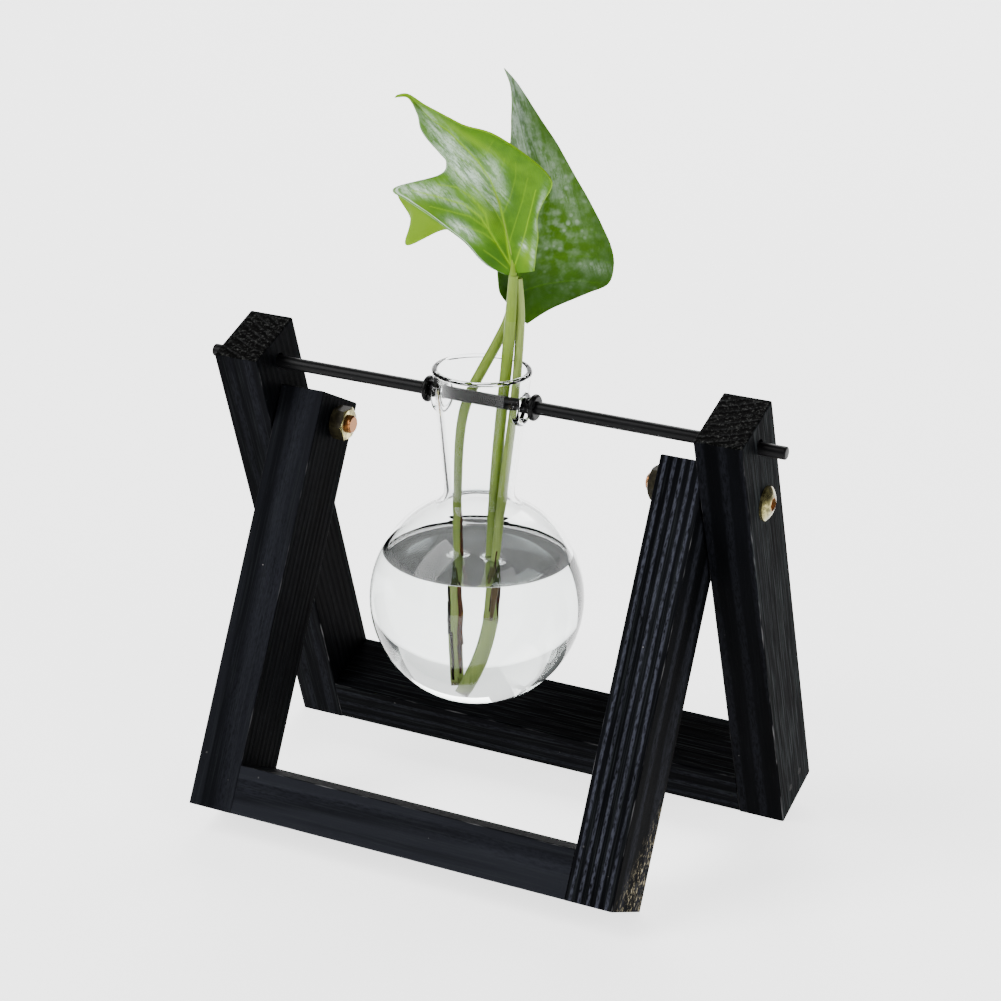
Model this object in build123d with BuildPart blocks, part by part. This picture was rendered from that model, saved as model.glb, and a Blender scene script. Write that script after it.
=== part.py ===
from build123d import *
import os
from math import atan, cos, radians, sin, tan

# Propagation vase: a blown glass bulb that hangs from a steel rod between two wooden frames.
# +X runs along the rod to the right, +Y points away from the front, +Z is up.
# The origin is on the floor, in the middle of the footprint. Lengths are in millimetres.

# Wooden stock, the same for every leg and bar
stock_depth = 25.0
stock_thickness = 16.0
edge_round = 0.6

# Front frame, which nests between the legs of the back frame
front_outer_width = 152.0
front_leg_length = 140.7
front_pivot_drop = 8.2
front_lean = 25.3

# Back frame, which carries the rod
frame_gap = 0.6
back_pivot_drop = 30.8
back_lean = 21.1

# Rod and its holes near the tops of the back legs
rod_diameter = 3.6
rod_overhang = 8.9
rod_drop = 9.1
rod_end_chamfer = 0.4
rod_hole_diameter = 4.8
rod_seat_gap = 0.05

# Pivot bolts and nuts
bolt_diameter = 6.0
bolt_head_diameter = 11.0
bolt_head_rim = 0.9
bolt_head_height = 2.9
bolt_end_past_nut = 1.6
bolt_end_chamfer = 0.5
socket_across_flats = 4.0
socket_depth = 1.8
nut_across_flats = 10.0
nut_thickness = 5.0
nut_chamfer = 0.5
nut_gap = 0.3
running_clearance = 0.05

# Brads through the legs into the ends of the bars
brad_diameter = 1.3
brad_head_diameter = 2.4
brad_head_thickness = 0.6
brad_length = 30.0
brad_pitch = 8.0
brad_clearance = 0.02

# Glass vase, with heights measured from the rod's axis
vase_side_shift = -2.3
glass_wall = 1.3
bulb_radius = 35.0
bulb_centre_drop = 68.1
neck_radius = 10.8
mouth_radius = 16.0
mouth_rise = 10.0
neck_fillet = 6.0
lip_radius = 0.95
hole_radius = 3.6
hole_rim_width = 2.0
hole_rim_rise = 0.7
hole_rim_round = 0.9
hole_collar_depth = 4.5

# Rubber rings that seat in the holes of the glass
ring_sleeve_radius = 2.4
ring_sleeve_length = 4.2
ring_flange_radius = 4.3
ring_flange_thickness = 2.0
ring_stand_off = 2.3
ring_edge_round = 0.9
ring_seat_gap = 0.02

# Cutting that stands in the vase, behind the rod
stem_lean = 8.5
stem_rod_gap = 0.4
stem_reach_share = 0.982
stem_bend_share = 0.45
thick_stem_radius = 1.7
thin_stem_radius = 1.3
leaf_thickness = 0.8
front_leaf_length = 67.0
rear_leaf_length = 72.0
front_leaf_rise = 1.0
rear_leaf_set_back = 3.3
rear_leaf_drop = 3.4

# Cuts run past the faces that they open
overrun = 1.0

# Places that follow from the sizes above
half_depth = stock_depth / 2
front_inner_half = front_outer_width / 2 - stock_thickness
back_inner_half = front_outer_width / 2 + frame_gap
back_outer_half = back_inner_half + stock_thickness
front_below_pivot = front_leg_length - front_pivot_drop
front_angle = radians(front_lean)
pivot_height = front_below_pivot * cos(front_angle) + half_depth * sin(front_angle)
back_angle = radians(back_lean)
back_below_pivot = (pivot_height - half_depth * sin(back_angle)) / cos(back_angle)
back_leg_length = back_below_pivot + back_pivot_drop
front_reach = front_below_pivot * sin(front_angle) + half_depth * cos(front_angle)
back_reach = back_below_pivot * sin(back_angle) + half_depth * cos(back_angle)
pivot_y = (front_reach - back_reach) / 2
rod_above_pivot = back_pivot_drop - rod_drop
rod_y = pivot_y - rod_above_pivot * sin(back_angle)
rod_z = pivot_height + rod_above_pivot * cos(back_angle)
rod_radius = rod_diameter / 2
rod_length = 2 * (back_outer_half + rod_overhang)
bolt_radius = bolt_diameter / 2

sides = ((-1, "left"), (1, "right"))


def leaning_plane(lean):
    """Plane across the pivot: its x runs through a leg's depth, its y runs up the leg, its normal is +X."""
    return Plane(origin=(0, pivot_y, pivot_height), x_dir=(0, cos(lean), -sin(lean)), z_dir=(1, 0, 0))


front_plane = leaning_plane(front_angle)
back_plane = leaning_plane(-back_angle)


def outward_plane(side, x, y, z):
    """Plane across X that faces away from the middle."""
    return Plane(origin=(x, y, z), x_dir=(0, side, 0), z_dir=(side, 0, 0))


def brad_places(below_pivot):
    """Centres of a pair of brads on a leg, at the middle of the bar's height."""
    with_bar = -below_pivot + stock_thickness / 2
    return [(-brad_pitch / 2, with_bar), (brad_pitch / 2, with_bar)]


def finish(part, label):
    part.label = label
    export_step(part, f"parts/{label}.step")


os.makedirs("parts", exist_ok=True)

# Legs: square-cut stock with eased edges, drilled for the pivot bolt, the brads and, at the back, the rod
leg_sets = (
    ("front", front_plane, front_leg_length, front_pivot_drop, front_inner_half),
    ("back", back_plane, back_leg_length, back_pivot_drop, back_inner_half),
)
for frame_name, frame_plane, leg_length, pivot_drop, inner_half in leg_sets:
    below_pivot = leg_length - pivot_drop
    for side, side_name in sides:
        leg_start = inner_half if side > 0 else -inner_half - stock_thickness
        leg_plane = frame_plane.offset(leg_start)
        with BuildPart() as leg:
            with BuildSketch(leg_plane):
                with Locations((0, pivot_drop - leg_length / 2)):
                    Rectangle(stock_depth, leg_length)
            extrude(amount=stock_thickness)
            long_edges = leg.edges().filter_by(Axis((0, 0, 0), frame_plane.y_dir))
            top_edges = leg.faces().sort_by(Axis((0, 0, 0), frame_plane.y_dir))[-1].edges()
            fillet(long_edges + top_edges, edge_round)
            with BuildSketch(leg_plane):
                Circle(bolt_radius + running_clearance)
            extrude(amount=stock_thickness, mode=Mode.SUBTRACT)
            with BuildSketch(leg_plane):
                with Locations(*brad_places(below_pivot)):
                    Circle(brad_diameter / 2 + brad_clearance)
            extrude(amount=stock_thickness, mode=Mode.SUBTRACT)
            head_seat = frame_plane.offset(side * (inner_half + stock_thickness))
            with BuildSketch(head_seat):
                with Locations(*brad_places(below_pivot)):
                    Circle(brad_head_diameter / 2 + brad_clearance)
            extrude(amount=-side * brad_head_thickness, mode=Mode.SUBTRACT)
            if frame_name == "back":
                rod_hole_rise = rod_hole_diameter / 2 - rod_radius - rod_seat_gap
                with BuildSketch(Plane.YZ.offset(leg_start)):
                    with Locations((rod_y, rod_z + rod_hole_rise)):
                        Circle(rod_hole_diameter / 2)
                extrude(amount=stock_thickness, mode=Mode.SUBTRACT)
        finish(leg.part, f"{frame_name}_leg_{side_name}")

# Bars between the bottom ends of the legs, laid flat, with pilot holes for the brads
for frame_name, frame_plane, leg_length, pivot_drop, inner_half in leg_sets:
    below_pivot = leg_length - pivot_drop
    pilot_depth = brad_length - stock_thickness
    with BuildPart() as bar:
        with BuildSketch(frame_plane.offset(-inner_half)):
            with Locations((0, -below_pivot + stock_thickness / 2)):
                Rectangle(stock_depth, stock_thickness)
        extrude(amount=2 * inner_half)
        fillet(bar.edges().filter_by(Axis.X), edge_round)
        for side, side_name in sides:
            with BuildSketch(frame_plane.offset(side * inner_half)):
                with Locations(*brad_places(below_pivot)):
                    Circle(brad_diameter / 2 + brad_clearance)
            extrude(amount=-side * pilot_depth, mode=Mode.SUBTRACT)
    finish(bar.part, f"{frame_name}_bar")

# Brads: pairs of flat-headed nails, driven flush from the outer faces of the legs
for frame_name, frame_plane, leg_length, pivot_drop, inner_half in leg_sets:
    below_pivot = leg_length - pivot_drop
    for side, side_name in sides:
        outer_plane = frame_plane.offset(side * (inner_half + stock_thickness))
        with BuildPart() as brads:
            with BuildSketch(outer_plane):
                with Locations(*brad_places(below_pivot)):
                    Circle(brad_head_diameter / 2)
            extrude(amount=-side * brad_head_thickness)
            with BuildSketch(outer_plane):
                with Locations(*brad_places(below_pivot)):
                    Circle(brad_diameter / 2)
            extrude(amount=-side * (brad_length - brad_clearance))
        finish(brads.part, f"{frame_name}_brads_{side_name}")

# Pivot bolts: low domed heads with a hexagon socket, shanks that reach just past the nuts
nut_face_half = front_inner_half - nut_gap
bolt_end_half = nut_face_half - nut_thickness - bolt_end_past_nut
shank_length = back_outer_half - bolt_end_half
for side, side_name in sides:
    head_plane = outward_plane(side, side * back_outer_half, pivot_y, pivot_height)
    side_plane = Plane(origin=head_plane.origin, x_dir=(side, 0, 0), z_dir=(0, 1, 0))
    head_radius = bolt_head_diameter / 2
    dome_rise = bolt_head_height - bolt_head_rim
    dome_radius = (dome_rise**2 + head_radius**2) / (2 * dome_rise)
    dome_middle = bolt_head_height - dome_radius + (dome_radius**2 - (head_radius / 2) ** 2) ** 0.5
    with BuildPart() as bolt:
        with BuildSketch(side_plane):
            with BuildLine():
                Line((-shank_length, 0), (-shank_length, bolt_radius))
                Line((-shank_length, bolt_radius), (0, bolt_radius))
                Line((0, bolt_radius), (0, head_radius))
                Line((0, head_radius), (bolt_head_rim, head_radius))
                ThreePointArc((bolt_head_rim, head_radius), (dome_middle, head_radius / 2), (bolt_head_height, 0))
                Line((bolt_head_height, 0), (-shank_length, 0))
            make_face()
        revolve(axis=Axis(head_plane.origin, (side, 0, 0)))
        shank_end = bolt.faces().sort_by(Axis((0, 0, 0), (side, 0, 0)))[0]
        chamfer(shank_end.edges(), bolt_end_chamfer)
        with BuildSketch(head_plane.offset(bolt_head_height)):
            RegularPolygon(socket_across_flats / 2, 6, major_radius=False)
        extrude(amount=-socket_depth, mode=Mode.SUBTRACT)
    finish(bolt.part, f"pivot_bolt_{side_name}")

# Pivot nuts: hexagon nuts against the inner faces of the front legs, with a flat on top
for side, side_name in sides:
    nut_plane = outward_plane(side, side * (nut_face_half - nut_thickness), pivot_y, pivot_height)
    nut_corner = nut_across_flats / 2 / cos(radians(30))
    nut_side_plane = Plane(origin=nut_plane.origin, x_dir=(side, 0, 0), z_dir=(0, 1, 0))
    with BuildPart() as nut:
        with BuildSketch(nut_plane):
            RegularPolygon(nut_across_flats / 2, 6, major_radius=False)
        extrude(amount=nut_thickness)
        with BuildSketch(nut_side_plane):
            with BuildLine():
                Polyline(
                    (0, 0),
                    (0, nut_corner - 2 * nut_chamfer),
                    (nut_chamfer, nut_corner),
                    (nut_thickness - nut_chamfer, nut_corner),
                    (nut_thickness, nut_corner - 2 * nut_chamfer),
                    (nut_thickness, 0),
                    close=True,
                )
            make_face()
        revolve(axis=Axis(nut_plane.origin, (side, 0, 0)), mode=Mode.INTERSECT)
        with BuildSketch(nut_plane):
            Circle(bolt_radius + running_clearance)
        extrude(amount=nut_thickness, mode=Mode.SUBTRACT)
    finish(nut.part, f"pivot_nut_{side_name}")

# Rod that the vase hangs from
with BuildPart() as hanging_rod:
    with BuildSketch(Plane.YZ.offset(-rod_length / 2)):
        with Locations((rod_y, rod_z)):
            Circle(rod_radius)
    extrude(amount=rod_length)
    chamfer(hanging_rod.edges().filter_by(GeomType.CIRCLE), rod_end_chamfer)
finish(hanging_rod.part, "hanging_rod")

# Glass vase, drawn on a plane whose origin is where its axis crosses the rod
vase_origin = (vase_side_shift, rod_y, rod_z)
vase_plane = Plane(origin=vase_origin, x_dir=(1, 0, 0), z_dir=(0, -1, 0))
vase_axis = Axis(vase_origin, (0, 0, 1))
junction_drop = bulb_centre_drop - (bulb_radius**2 - neck_radius**2) ** 0.5
flare_angle = atan((mouth_radius - neck_radius) / (mouth_rise + junction_drop))
hole_rim_reach = neck_radius + junction_drop * tan(flare_angle) + hole_rim_rise


def vase_outline(inset, top):
    """Half outline of the vase, drawn in by an inset, from the bottom of the bulb to a height."""
    radius = bulb_radius - inset
    bottom = -bulb_centre_drop - radius
    foot = neck_radius - inset / cos(flare_angle)
    shoulder = (radius**2 - foot**2) ** 0.5 - bulb_centre_drop
    mouth = foot + (top - shoulder) * tan(flare_angle)
    with BuildSketch(vase_plane) as outline:
        with BuildLine():
            ThreePointArc((0, bottom), (radius, -bulb_centre_drop), (foot, shoulder))
            Polyline((foot, shoulder), (mouth, top), (0, top), (0, bottom))
        make_face()
        shoulder_corner = outline.vertices().sort_by_distance((foot, shoulder, 0))[0]
        fillet(shoulder_corner, neck_fillet + inset)
    return outline.sketch


hole_drop = hole_radius - ring_sleeve_radius - ring_seat_gap
lip_height = mouth_rise - lip_radius
outer_outline = vase_outline(0, lip_height)
inner_outline = vase_outline(glass_wall, mouth_rise + overrun)
with BuildPart() as glass_vase:
    add(outer_outline)
    revolve(axis=vase_axis)
    with BuildSketch(vase_plane):
        with Locations((mouth_radius - lip_radius, lip_height)):
            Circle(lip_radius)
    revolve(axis=vase_axis)
    for side, side_name in sides:
        rim_plane = outward_plane(side, vase_side_shift + side * hole_rim_reach, rod_y, rod_z - hole_drop)
        with BuildSketch(rim_plane):
            Circle(hole_radius + hole_rim_width)
        extrude(amount=-hole_collar_depth)
    add(inner_outline)
    revolve(axis=vase_axis, mode=Mode.SUBTRACT)
    with BuildSketch(Plane.YZ.offset(vase_side_shift)):
        with Locations((rod_y, rod_z - hole_drop)):
            Circle(hole_radius)
    extrude(amount=hole_rim_reach + overrun, both=True, mode=Mode.SUBTRACT)
    rim_faces = glass_vase.faces().filter_by(GeomType.PLANE).filter_by(Axis.X)
    fillet(rim_faces.edges(), hole_rim_round)
finish(glass_vase.part, "glass_vase")

# Rubber rings: a sleeve between the rod and the glass, and a round-edged flange outside it
ring_flange_reach = hole_rim_reach + ring_stand_off + ring_flange_thickness
for side, side_name in sides:
    flange_plane = outward_plane(side, vase_side_shift + side * ring_flange_reach, rod_y, rod_z)
    with BuildPart() as rubber_ring:
        with BuildSketch(flange_plane):
            Circle(ring_flange_radius)
        extrude(amount=-ring_flange_thickness)
        fillet(rubber_ring.edges().filter_by(GeomType.CIRCLE), ring_edge_round)
        with BuildSketch(flange_plane.offset(-ring_flange_thickness / 2)):
            Circle(ring_sleeve_radius)
        extrude(amount=-ring_flange_thickness / 2 - ring_sleeve_length)
        with BuildSketch(flange_plane):
            Circle(rod_radius + running_clearance)
        extrude(amount=-ring_flange_thickness - ring_sleeve_length, mode=Mode.SUBTRACT)
    finish(rubber_ring.part, f"rubber_ring_{side_name}")

# Stems: each point's height above the rod as a share of the stems' reach into the bulb, then its side and
# set-back as shares of the neck's radius. Below the rod they lean as one, so the cutting lifts out behind it.
stem_reach = stem_reach_share * (bulb_centre_drop + bulb_radius - glass_wall)
left_stem_shares = (
    (-0.90, -0.28, 0.60),
    (-0.80, -0.40, 0.52),
    (-0.71, -0.45, 0.44),
    (-0.53, -0.58, 0.19),
    (-0.13, -0.81, 0),
    (-0.02, -0.65, 0),
    (0.08, -0.21, 0),
    (0.17, 0.17, 0.15),
    (0.25, 0.52, 0.26),
    (0.34, 0.72, 0.33),
)
middle_stem_shares = (
    (-0.92, -0.06, 0.34),
    (-0.865, 0.16, 0.45),
    (-0.80, 0.34, 0.50),
    (-0.72, 0.42, 0.53),
    (-0.63, 0.42, 0.52),
    (-0.52, 0.38, 0.49),
    (-0.31, 0.36, 0.37),
    (-0.14, 0.41, 0.24),
    (0, 0.48, 0.12),
    (0.12, 0.55, 0),
    (0.25, 0.61, -0.13),
    (0.395, 0.67, -0.24),
)
right_stem_shares = (
    (-0.72, 0.60, 0.26),
    (-0.54, 0.66, 0.26),
    (-0.31, 0.70, 0.20),
    (-0.14, 0.80, 0.18),
    (0, 0.86, 0.20),
    (0.24, 0.86, 0.17),
    (0.33, 0.89, 0.06),
)
stems = (
    ("stem_left", left_stem_shares, thick_stem_radius),
    ("stem_middle", middle_stem_shares, thick_stem_radius),
    ("stem_right", right_stem_shares, thin_stem_radius),
)


def stem_point(shares, radius):
    """Place of a stem's point in the part's frame."""
    height_share, side_share, back_share = shares
    height = height_share * stem_reach
    behind_rod = rod_radius + stem_rod_gap + radius
    back = height * tan(radians(stem_lean)) + behind_rod + back_share * neck_radius
    return Vector(vase_side_shift + side_share * neck_radius, rod_y + back, rod_z + height)


def bend_radii(points):
    """Radius of the arc at each inner point, from the shorter of its two runs."""
    radii = []
    for before, here, after in zip(points, points[1:], points[2:]):
        turn = radians((here - before).get_angle(after - here))
        shorter = min((here - before).length, (after - here).length)
        radii.append(stem_bend_share * shorter / tan(turn / 2))
    return radii


for stem_name, shares, stem_radius in stems:
    points = [stem_point(row, stem_radius) for row in shares]
    with BuildPart() as stem:
        with BuildLine() as stem_path:
            FilletPolyline(*points, radius=bend_radii(points))
        with BuildSketch(Plane(origin=stem_path.line @ 0, z_dir=stem_path.line % 0)):
            Circle(stem_radius)
        sweep()
    finish(stem.part, stem_name)

# Leaves: sections across each blade, as shares of its length. Each row gives the place along the blade,
# then side and lift of the left edge, of the midrib and of the right edge.
front_leaf_shares = (
    (0.00, -0.020, 0.000, 0.025, -0.015, 0.100, 0.005),
    (0.06, -0.075, 0.005, 0.050, -0.035, 0.190, 0.020),
    (0.15, -0.100, 0.015, 0.072, -0.050, 0.257, 0.030),
    (0.27, -0.140, 0.030, 0.115, -0.055, 0.400, 0.030),
    (0.35, -0.170, 0.040, 0.145, -0.060, 0.433, 0.025),
    (0.47, -0.215, 0.050, 0.165, -0.055, 0.405, 0.020),
    (0.56, -0.245, 0.045, 0.175, -0.050, 0.358, 0.015),
    (0.60, -0.250, 0.040, 0.176, -0.045, 0.335, 0.010),
    (0.63, 0.030, -0.010, 0.170, -0.045, 0.315, 0.010),
    (0.72, 0.028, -0.010, 0.134, -0.040, 0.245, 0.005),
    (0.87, 0.040, -0.005, 0.075, -0.025, 0.145, 0.000),
    (0.99, 0.002, 0.000, 0.010, -0.010, 0.020, 0.000),
)
rear_leaf_shares = (
    (-0.12, 0.000, 0.000, 0.014, -0.010, 0.030, 0.000),
    (-0.07, -0.030, 0.010, 0.045, -0.020, 0.130, 0.005),
    (-0.02, -0.070, 0.015, 0.080, -0.030, 0.320, 0.010),
    (0.05, -0.098, 0.020, 0.100, -0.040, 0.425, 0.010),
    (0.17, -0.100, 0.020, 0.130, -0.045, 0.425, 0.010),
    (0.28, -0.090, 0.020, 0.143, -0.045, 0.385, 0.010),
    (0.39, -0.060, 0.015, 0.150, -0.045, 0.341, 0.005),
    (0.50, -0.030, 0.010, 0.146, -0.040, 0.290, 0.005),
    (0.60, 0.000, 0.005, 0.120, -0.035, 0.240, 0.000),
    (0.70, 0.010, 0.000, 0.090, -0.030, 0.185, 0.000),
    (0.80, 0.012, 0.000, 0.060, -0.020, 0.127, 0.000),
    (0.90, 0.015, 0.000, 0.040, -0.012, 0.070, 0.000),
    (0.99, 0.000, 0.000, 0.006, -0.008, 0.014, 0.000),
)
# The way each blade points, and the way its right edge lies
front_leaf_along = Vector(-0.533, -0.225, 0.816).normalized()
front_leaf_across = Vector(0.840, -0.027, 0.541).normalized()
rear_leaf_along = Vector(-0.128, 0.028, 0.991).normalized()
rear_leaf_across = Vector(0.702, 0.709, 0.071).normalized()

left_stem_top = stem_point(left_stem_shares[-1], thick_stem_radius)
middle_stem_top = stem_point(middle_stem_shares[-1], thick_stem_radius)
front_leaf_base = middle_stem_top + front_leaf_along * front_leaf_rise
rear_leaf_face = rear_leaf_across.cross(rear_leaf_along)
rear_leaf_base = left_stem_top - rear_leaf_face * rear_leaf_set_back - rear_leaf_along * rear_leaf_drop
leaves = (
    ("leaf_front", front_leaf_shares, front_leaf_length, front_leaf_base, front_leaf_along, front_leaf_across),
    ("leaf_rear", rear_leaf_shares, rear_leaf_length, rear_leaf_base, rear_leaf_along, rear_leaf_across),
)
for leaf_name, shares, leaf_length, leaf_base, along, across in leaves:
    with BuildPart() as leaf:
        for along_share, left_side, left_lift, rib_side, rib_lift, right_side, right_lift in shares:
            section_origin = leaf_base + along * (along_share * leaf_length)
            left = (left_side * leaf_length, left_lift * leaf_length)
            right = (right_side * leaf_length, right_lift * leaf_length)
            rib = (rib_side * leaf_length, rib_lift * leaf_length)
            under_rib = (rib[0], rib[1] - leaf_thickness)
            with BuildSketch(Plane(origin=section_origin, x_dir=across, z_dir=-along)):
                with BuildLine():
                    ThreePointArc(left, rib, right)
                    ThreePointArc(right, under_rib, left)
                make_face()
        loft(ruled=True)
    finish(leaf.part, leaf_name)
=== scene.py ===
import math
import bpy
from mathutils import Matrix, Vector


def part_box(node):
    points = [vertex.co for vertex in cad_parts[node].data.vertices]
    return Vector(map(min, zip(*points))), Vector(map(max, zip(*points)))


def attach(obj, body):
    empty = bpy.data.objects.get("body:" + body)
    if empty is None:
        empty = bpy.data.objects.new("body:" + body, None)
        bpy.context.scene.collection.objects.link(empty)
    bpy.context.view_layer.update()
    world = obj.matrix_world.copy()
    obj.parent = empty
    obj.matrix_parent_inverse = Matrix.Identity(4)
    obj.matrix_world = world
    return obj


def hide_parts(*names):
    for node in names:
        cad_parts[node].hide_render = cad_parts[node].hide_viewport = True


bl_info = {
    "name": "Propagation Vase",
    "version": (1, 0, 0),
    "blender": (4, 5, 0),
    "location": "3D View > Sidebar > Vase",
    "description": "Glass, water, cutting and finishes for a propagation vase on its folding wooden stand",
    "category": "Add Mesh",
}

import bpy
from mathutils import Euler, Matrix, Vector, noise

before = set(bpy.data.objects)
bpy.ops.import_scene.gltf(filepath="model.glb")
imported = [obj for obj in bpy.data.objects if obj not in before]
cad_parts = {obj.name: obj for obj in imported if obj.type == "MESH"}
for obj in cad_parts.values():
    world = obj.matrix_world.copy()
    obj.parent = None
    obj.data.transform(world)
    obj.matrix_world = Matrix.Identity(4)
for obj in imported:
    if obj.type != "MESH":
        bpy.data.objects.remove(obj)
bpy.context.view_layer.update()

# The scene is in metres
MM = 0.001


def middle(node):
    """Middle of a CAD node's box."""
    low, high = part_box(node)
    return (low + high) / 2


rod_low, rod_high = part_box("hanging_rod")
rod_middle = middle("hanging_rod")
rod_radius = (rod_high.z - rod_low.z) / 2
# Where the vase's upright axis crosses the rod
vase_seat = Vector((middle("glass_vase").x, rod_middle.y, rod_middle.z))
vase_low, vase_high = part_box("glass_vase")
bulb_radius = (vase_high.y - vase_low.y) / 2
# Depth of the bulb's middle and height of the mouth, from the rod's axis
bulb_drop = vase_seat.z - vase_low.z - bulb_radius
mouth_rise = vase_high.z - vase_seat.z
# Narrower side of the wooden stock
leg_low, leg_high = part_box("front_leg_right")
leg_thickness = leg_high.x - leg_low.x


# Sizes and colours that a user would change


class StandSettings(bpy.types.PropertyGroup):
    """Finish of the wooden frames, the rod and the hardware."""

    front_lean: bpy.props.FloatProperty(
        name="Front lean", description="Lean of the front legs", default=math.radians(25.3), subtype="ANGLE"
    )
    back_lean: bpy.props.FloatProperty(
        name="Back lean", description="Lean of the back legs", default=math.radians(21.1), subtype="ANGLE"
    )
    stock_depth: bpy.props.FloatProperty(
        name="Stock depth",
        description="Wider side of the wooden stock",
        default=25 * MM,
        unit="LENGTH",
        precision=4,
    )
    ring_spacing: bpy.props.FloatProperty(
        name="Ring spacing",
        description="Distance between growth rings",
        default=2.8 * MM,
        unit="LENGTH",
        precision=4,
    )
    stain: bpy.props.FloatVectorProperty(
        name="Stain",
        description="Colour of the black stain",
        default=(0.0009, 0.0010, 0.0013),
        subtype="COLOR",
    )
    late_wood: bpy.props.FloatVectorProperty(
        name="Late wood",
        description="Colour of the raised grain",
        default=(0.033, 0.035, 0.047),
        subtype="COLOR",
    )
    bare_wood: bpy.props.FloatVectorProperty(
        name="Bare wood",
        description="Colour where the stain has worn off",
        default=(0.30, 0.26, 0.17),
        subtype="COLOR",
    )
    paint: bpy.props.FloatVectorProperty(
        name="Rod paint", description="Colour of the rod", default=(0.003, 0.003, 0.0033), subtype="COLOR"
    )
    paint_thickness: bpy.props.FloatProperty(
        name="Paint", description="Thickness of the rod's paint", default=0.3 * MM, unit="LENGTH", precision=5
    )
    brass: bpy.props.FloatVectorProperty(
        name="Plating",
        description="Colour of the bolts and nuts",
        default=(0.30, 0.27, 0.115),
        subtype="COLOR",
    )


class VaseSettings(bpy.types.PropertyGroup):
    """Shape of the glass and of the water in it, with heights from the rod's axis."""

    wall: bpy.props.FloatProperty(
        name="Wall", description="Thickness of the glass", default=1.3 * MM, unit="LENGTH", precision=4
    )
    neck_radius: bpy.props.FloatProperty(
        name="Neck radius",
        description="Radius at the foot of the neck",
        default=10.8 * MM,
        unit="LENGTH",
        precision=4,
    )
    mouth_radius: bpy.props.FloatProperty(
        name="Mouth radius",
        description="Radius of the flared mouth",
        default=16 * MM,
        unit="LENGTH",
        precision=4,
    )
    neck_fillet: bpy.props.FloatProperty(
        name="Neck fillet",
        description="Round between neck and bulb",
        default=6 * MM,
        unit="LENGTH",
        precision=4,
    )
    lip_radius: bpy.props.FloatProperty(
        name="Lip radius",
        description="Radius of the rolled lip",
        default=0.95 * MM,
        unit="LENGTH",
        precision=5,
    )
    hole_radius: bpy.props.FloatProperty(
        name="Hole radius",
        description="Radius of the rod holes",
        default=3.6 * MM,
        unit="LENGTH",
        precision=4,
    )
    rim_width: bpy.props.FloatProperty(
        name="Rim width",
        description="Width of the rim round a rod hole",
        default=2 * MM,
        unit="LENGTH",
        precision=4,
    )
    hole_drop: bpy.props.FloatProperty(
        name="Hole drop",
        description="Drop of the holes below the rod",
        default=1.18 * MM,
        unit="LENGTH",
        precision=5,
    )
    rim_reach: bpy.props.FloatProperty(
        name="Rim reach",
        description="Reach of the rims from the axis",
        default=15.5 * MM,
        unit="LENGTH",
        precision=4,
    )
    water_drop: bpy.props.FloatProperty(
        name="Water drop",
        description="Depth of the water's surface",
        default=53.5 * MM,
        unit="LENGTH",
        precision=4,
    )
    meniscus: bpy.props.FloatProperty(
        name="Meniscus",
        description="Height of the water's edge",
        default=0.9 * MM,
        unit="LENGTH",
        precision=5,
    )


class CuttingSettings(bpy.types.PropertyGroup):
    """Shape and colours of the cutting."""

    stem_lean: bpy.props.FloatProperty(
        name="Stem lean",
        description="Lean of the stems in the vase",
        default=math.radians(8.5),
        subtype="ANGLE",
    )
    thick_radius: bpy.props.FloatProperty(
        name="Thick stem",
        description="Radius of the two thick stems",
        default=1.7 * MM,
        unit="LENGTH",
        precision=5,
    )
    thin_radius: bpy.props.FloatProperty(
        name="Thin stem", description="Radius of the thin stem", default=1.3 * MM, unit="LENGTH", precision=5
    )
    blade: bpy.props.FloatProperty(
        name="Blade", description="Thickness of a leaf", default=0.45 * MM, unit="LENGTH", precision=5
    )
    leaf_green: bpy.props.FloatVectorProperty(
        name="Leaf green",
        description="Colour of a leaf's blade",
        default=(0.055, 0.150, 0.0),
        subtype="COLOR",
    )
    # Young green, also used for painted backlight on the front leaf's rolled edge
    leaf_bright: bpy.props.FloatVectorProperty(
        name="Young green", description="Colour near the edges", default=(0.150, 0.290, 0.0), subtype="COLOR"
    )
    # Silver of the leaves' speckles and of their painted sheen
    leaf_silver_and_sheen: bpy.props.FloatVectorProperty(
        name="Silver", description="Colour of the pale patches", default=(0.46, 0.58, 0.47), subtype="COLOR"
    )
    stem_green: bpy.props.FloatVectorProperty(
        name="Stem green", description="Colour of the stems", default=(0.135, 0.22, 0.006), subtype="COLOR"
    )
    stem_pale: bpy.props.FloatVectorProperty(
        name="Stem pale", description="Colour of the stems' feet", default=(0.30, 0.38, 0.11), subtype="COLOR"
    )
    root_brown: bpy.props.FloatVectorProperty(
        name="Root brown",
        description="Colour of roots and scars",
        default=(0.075, 0.022, 0.004),
        subtype="COLOR",
    )


class StudioSettings(bpy.types.PropertyGroup):
    """Camera and light."""

    azimuth: bpy.props.FloatProperty(
        name="Azimuth",
        description="Camera's turn round the object",
        default=math.radians(26.1649),
        subtype="ANGLE",
    )
    elevation: bpy.props.FloatProperty(
        name="Elevation", description="Camera's height angle", default=math.radians(20.5575), subtype="ANGLE"
    )
    roll: bpy.props.FloatProperty(
        name="Roll", description="Camera's roll", default=math.radians(1.4034), subtype="ANGLE"
    )
    distance: bpy.props.FloatProperty(
        name="Distance", description="Camera's distance", default=0.92712, unit="LENGTH", precision=4
    )
    target: bpy.props.FloatVectorProperty(
        name="Target",
        description="Point in the middle of the picture",
        default=(-0.00109, 0.01013, 0.10657),
        unit="LENGTH",
        precision=5,
    )
    lens: bpy.props.FloatProperty(name="Lens", description="Focal length in millimetres", default=102.315)
    key_power: bpy.props.FloatProperty(name="Key light", description="Power of the key light", default=62.0)
    floor_glow: bpy.props.FloatProperty(
        name="Floor glow", description="Light that the floor gives", default=2.1
    )
    sky: bpy.props.FloatProperty(name="Sky", description="Strength of the surrounding light", default=0.22)


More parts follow.
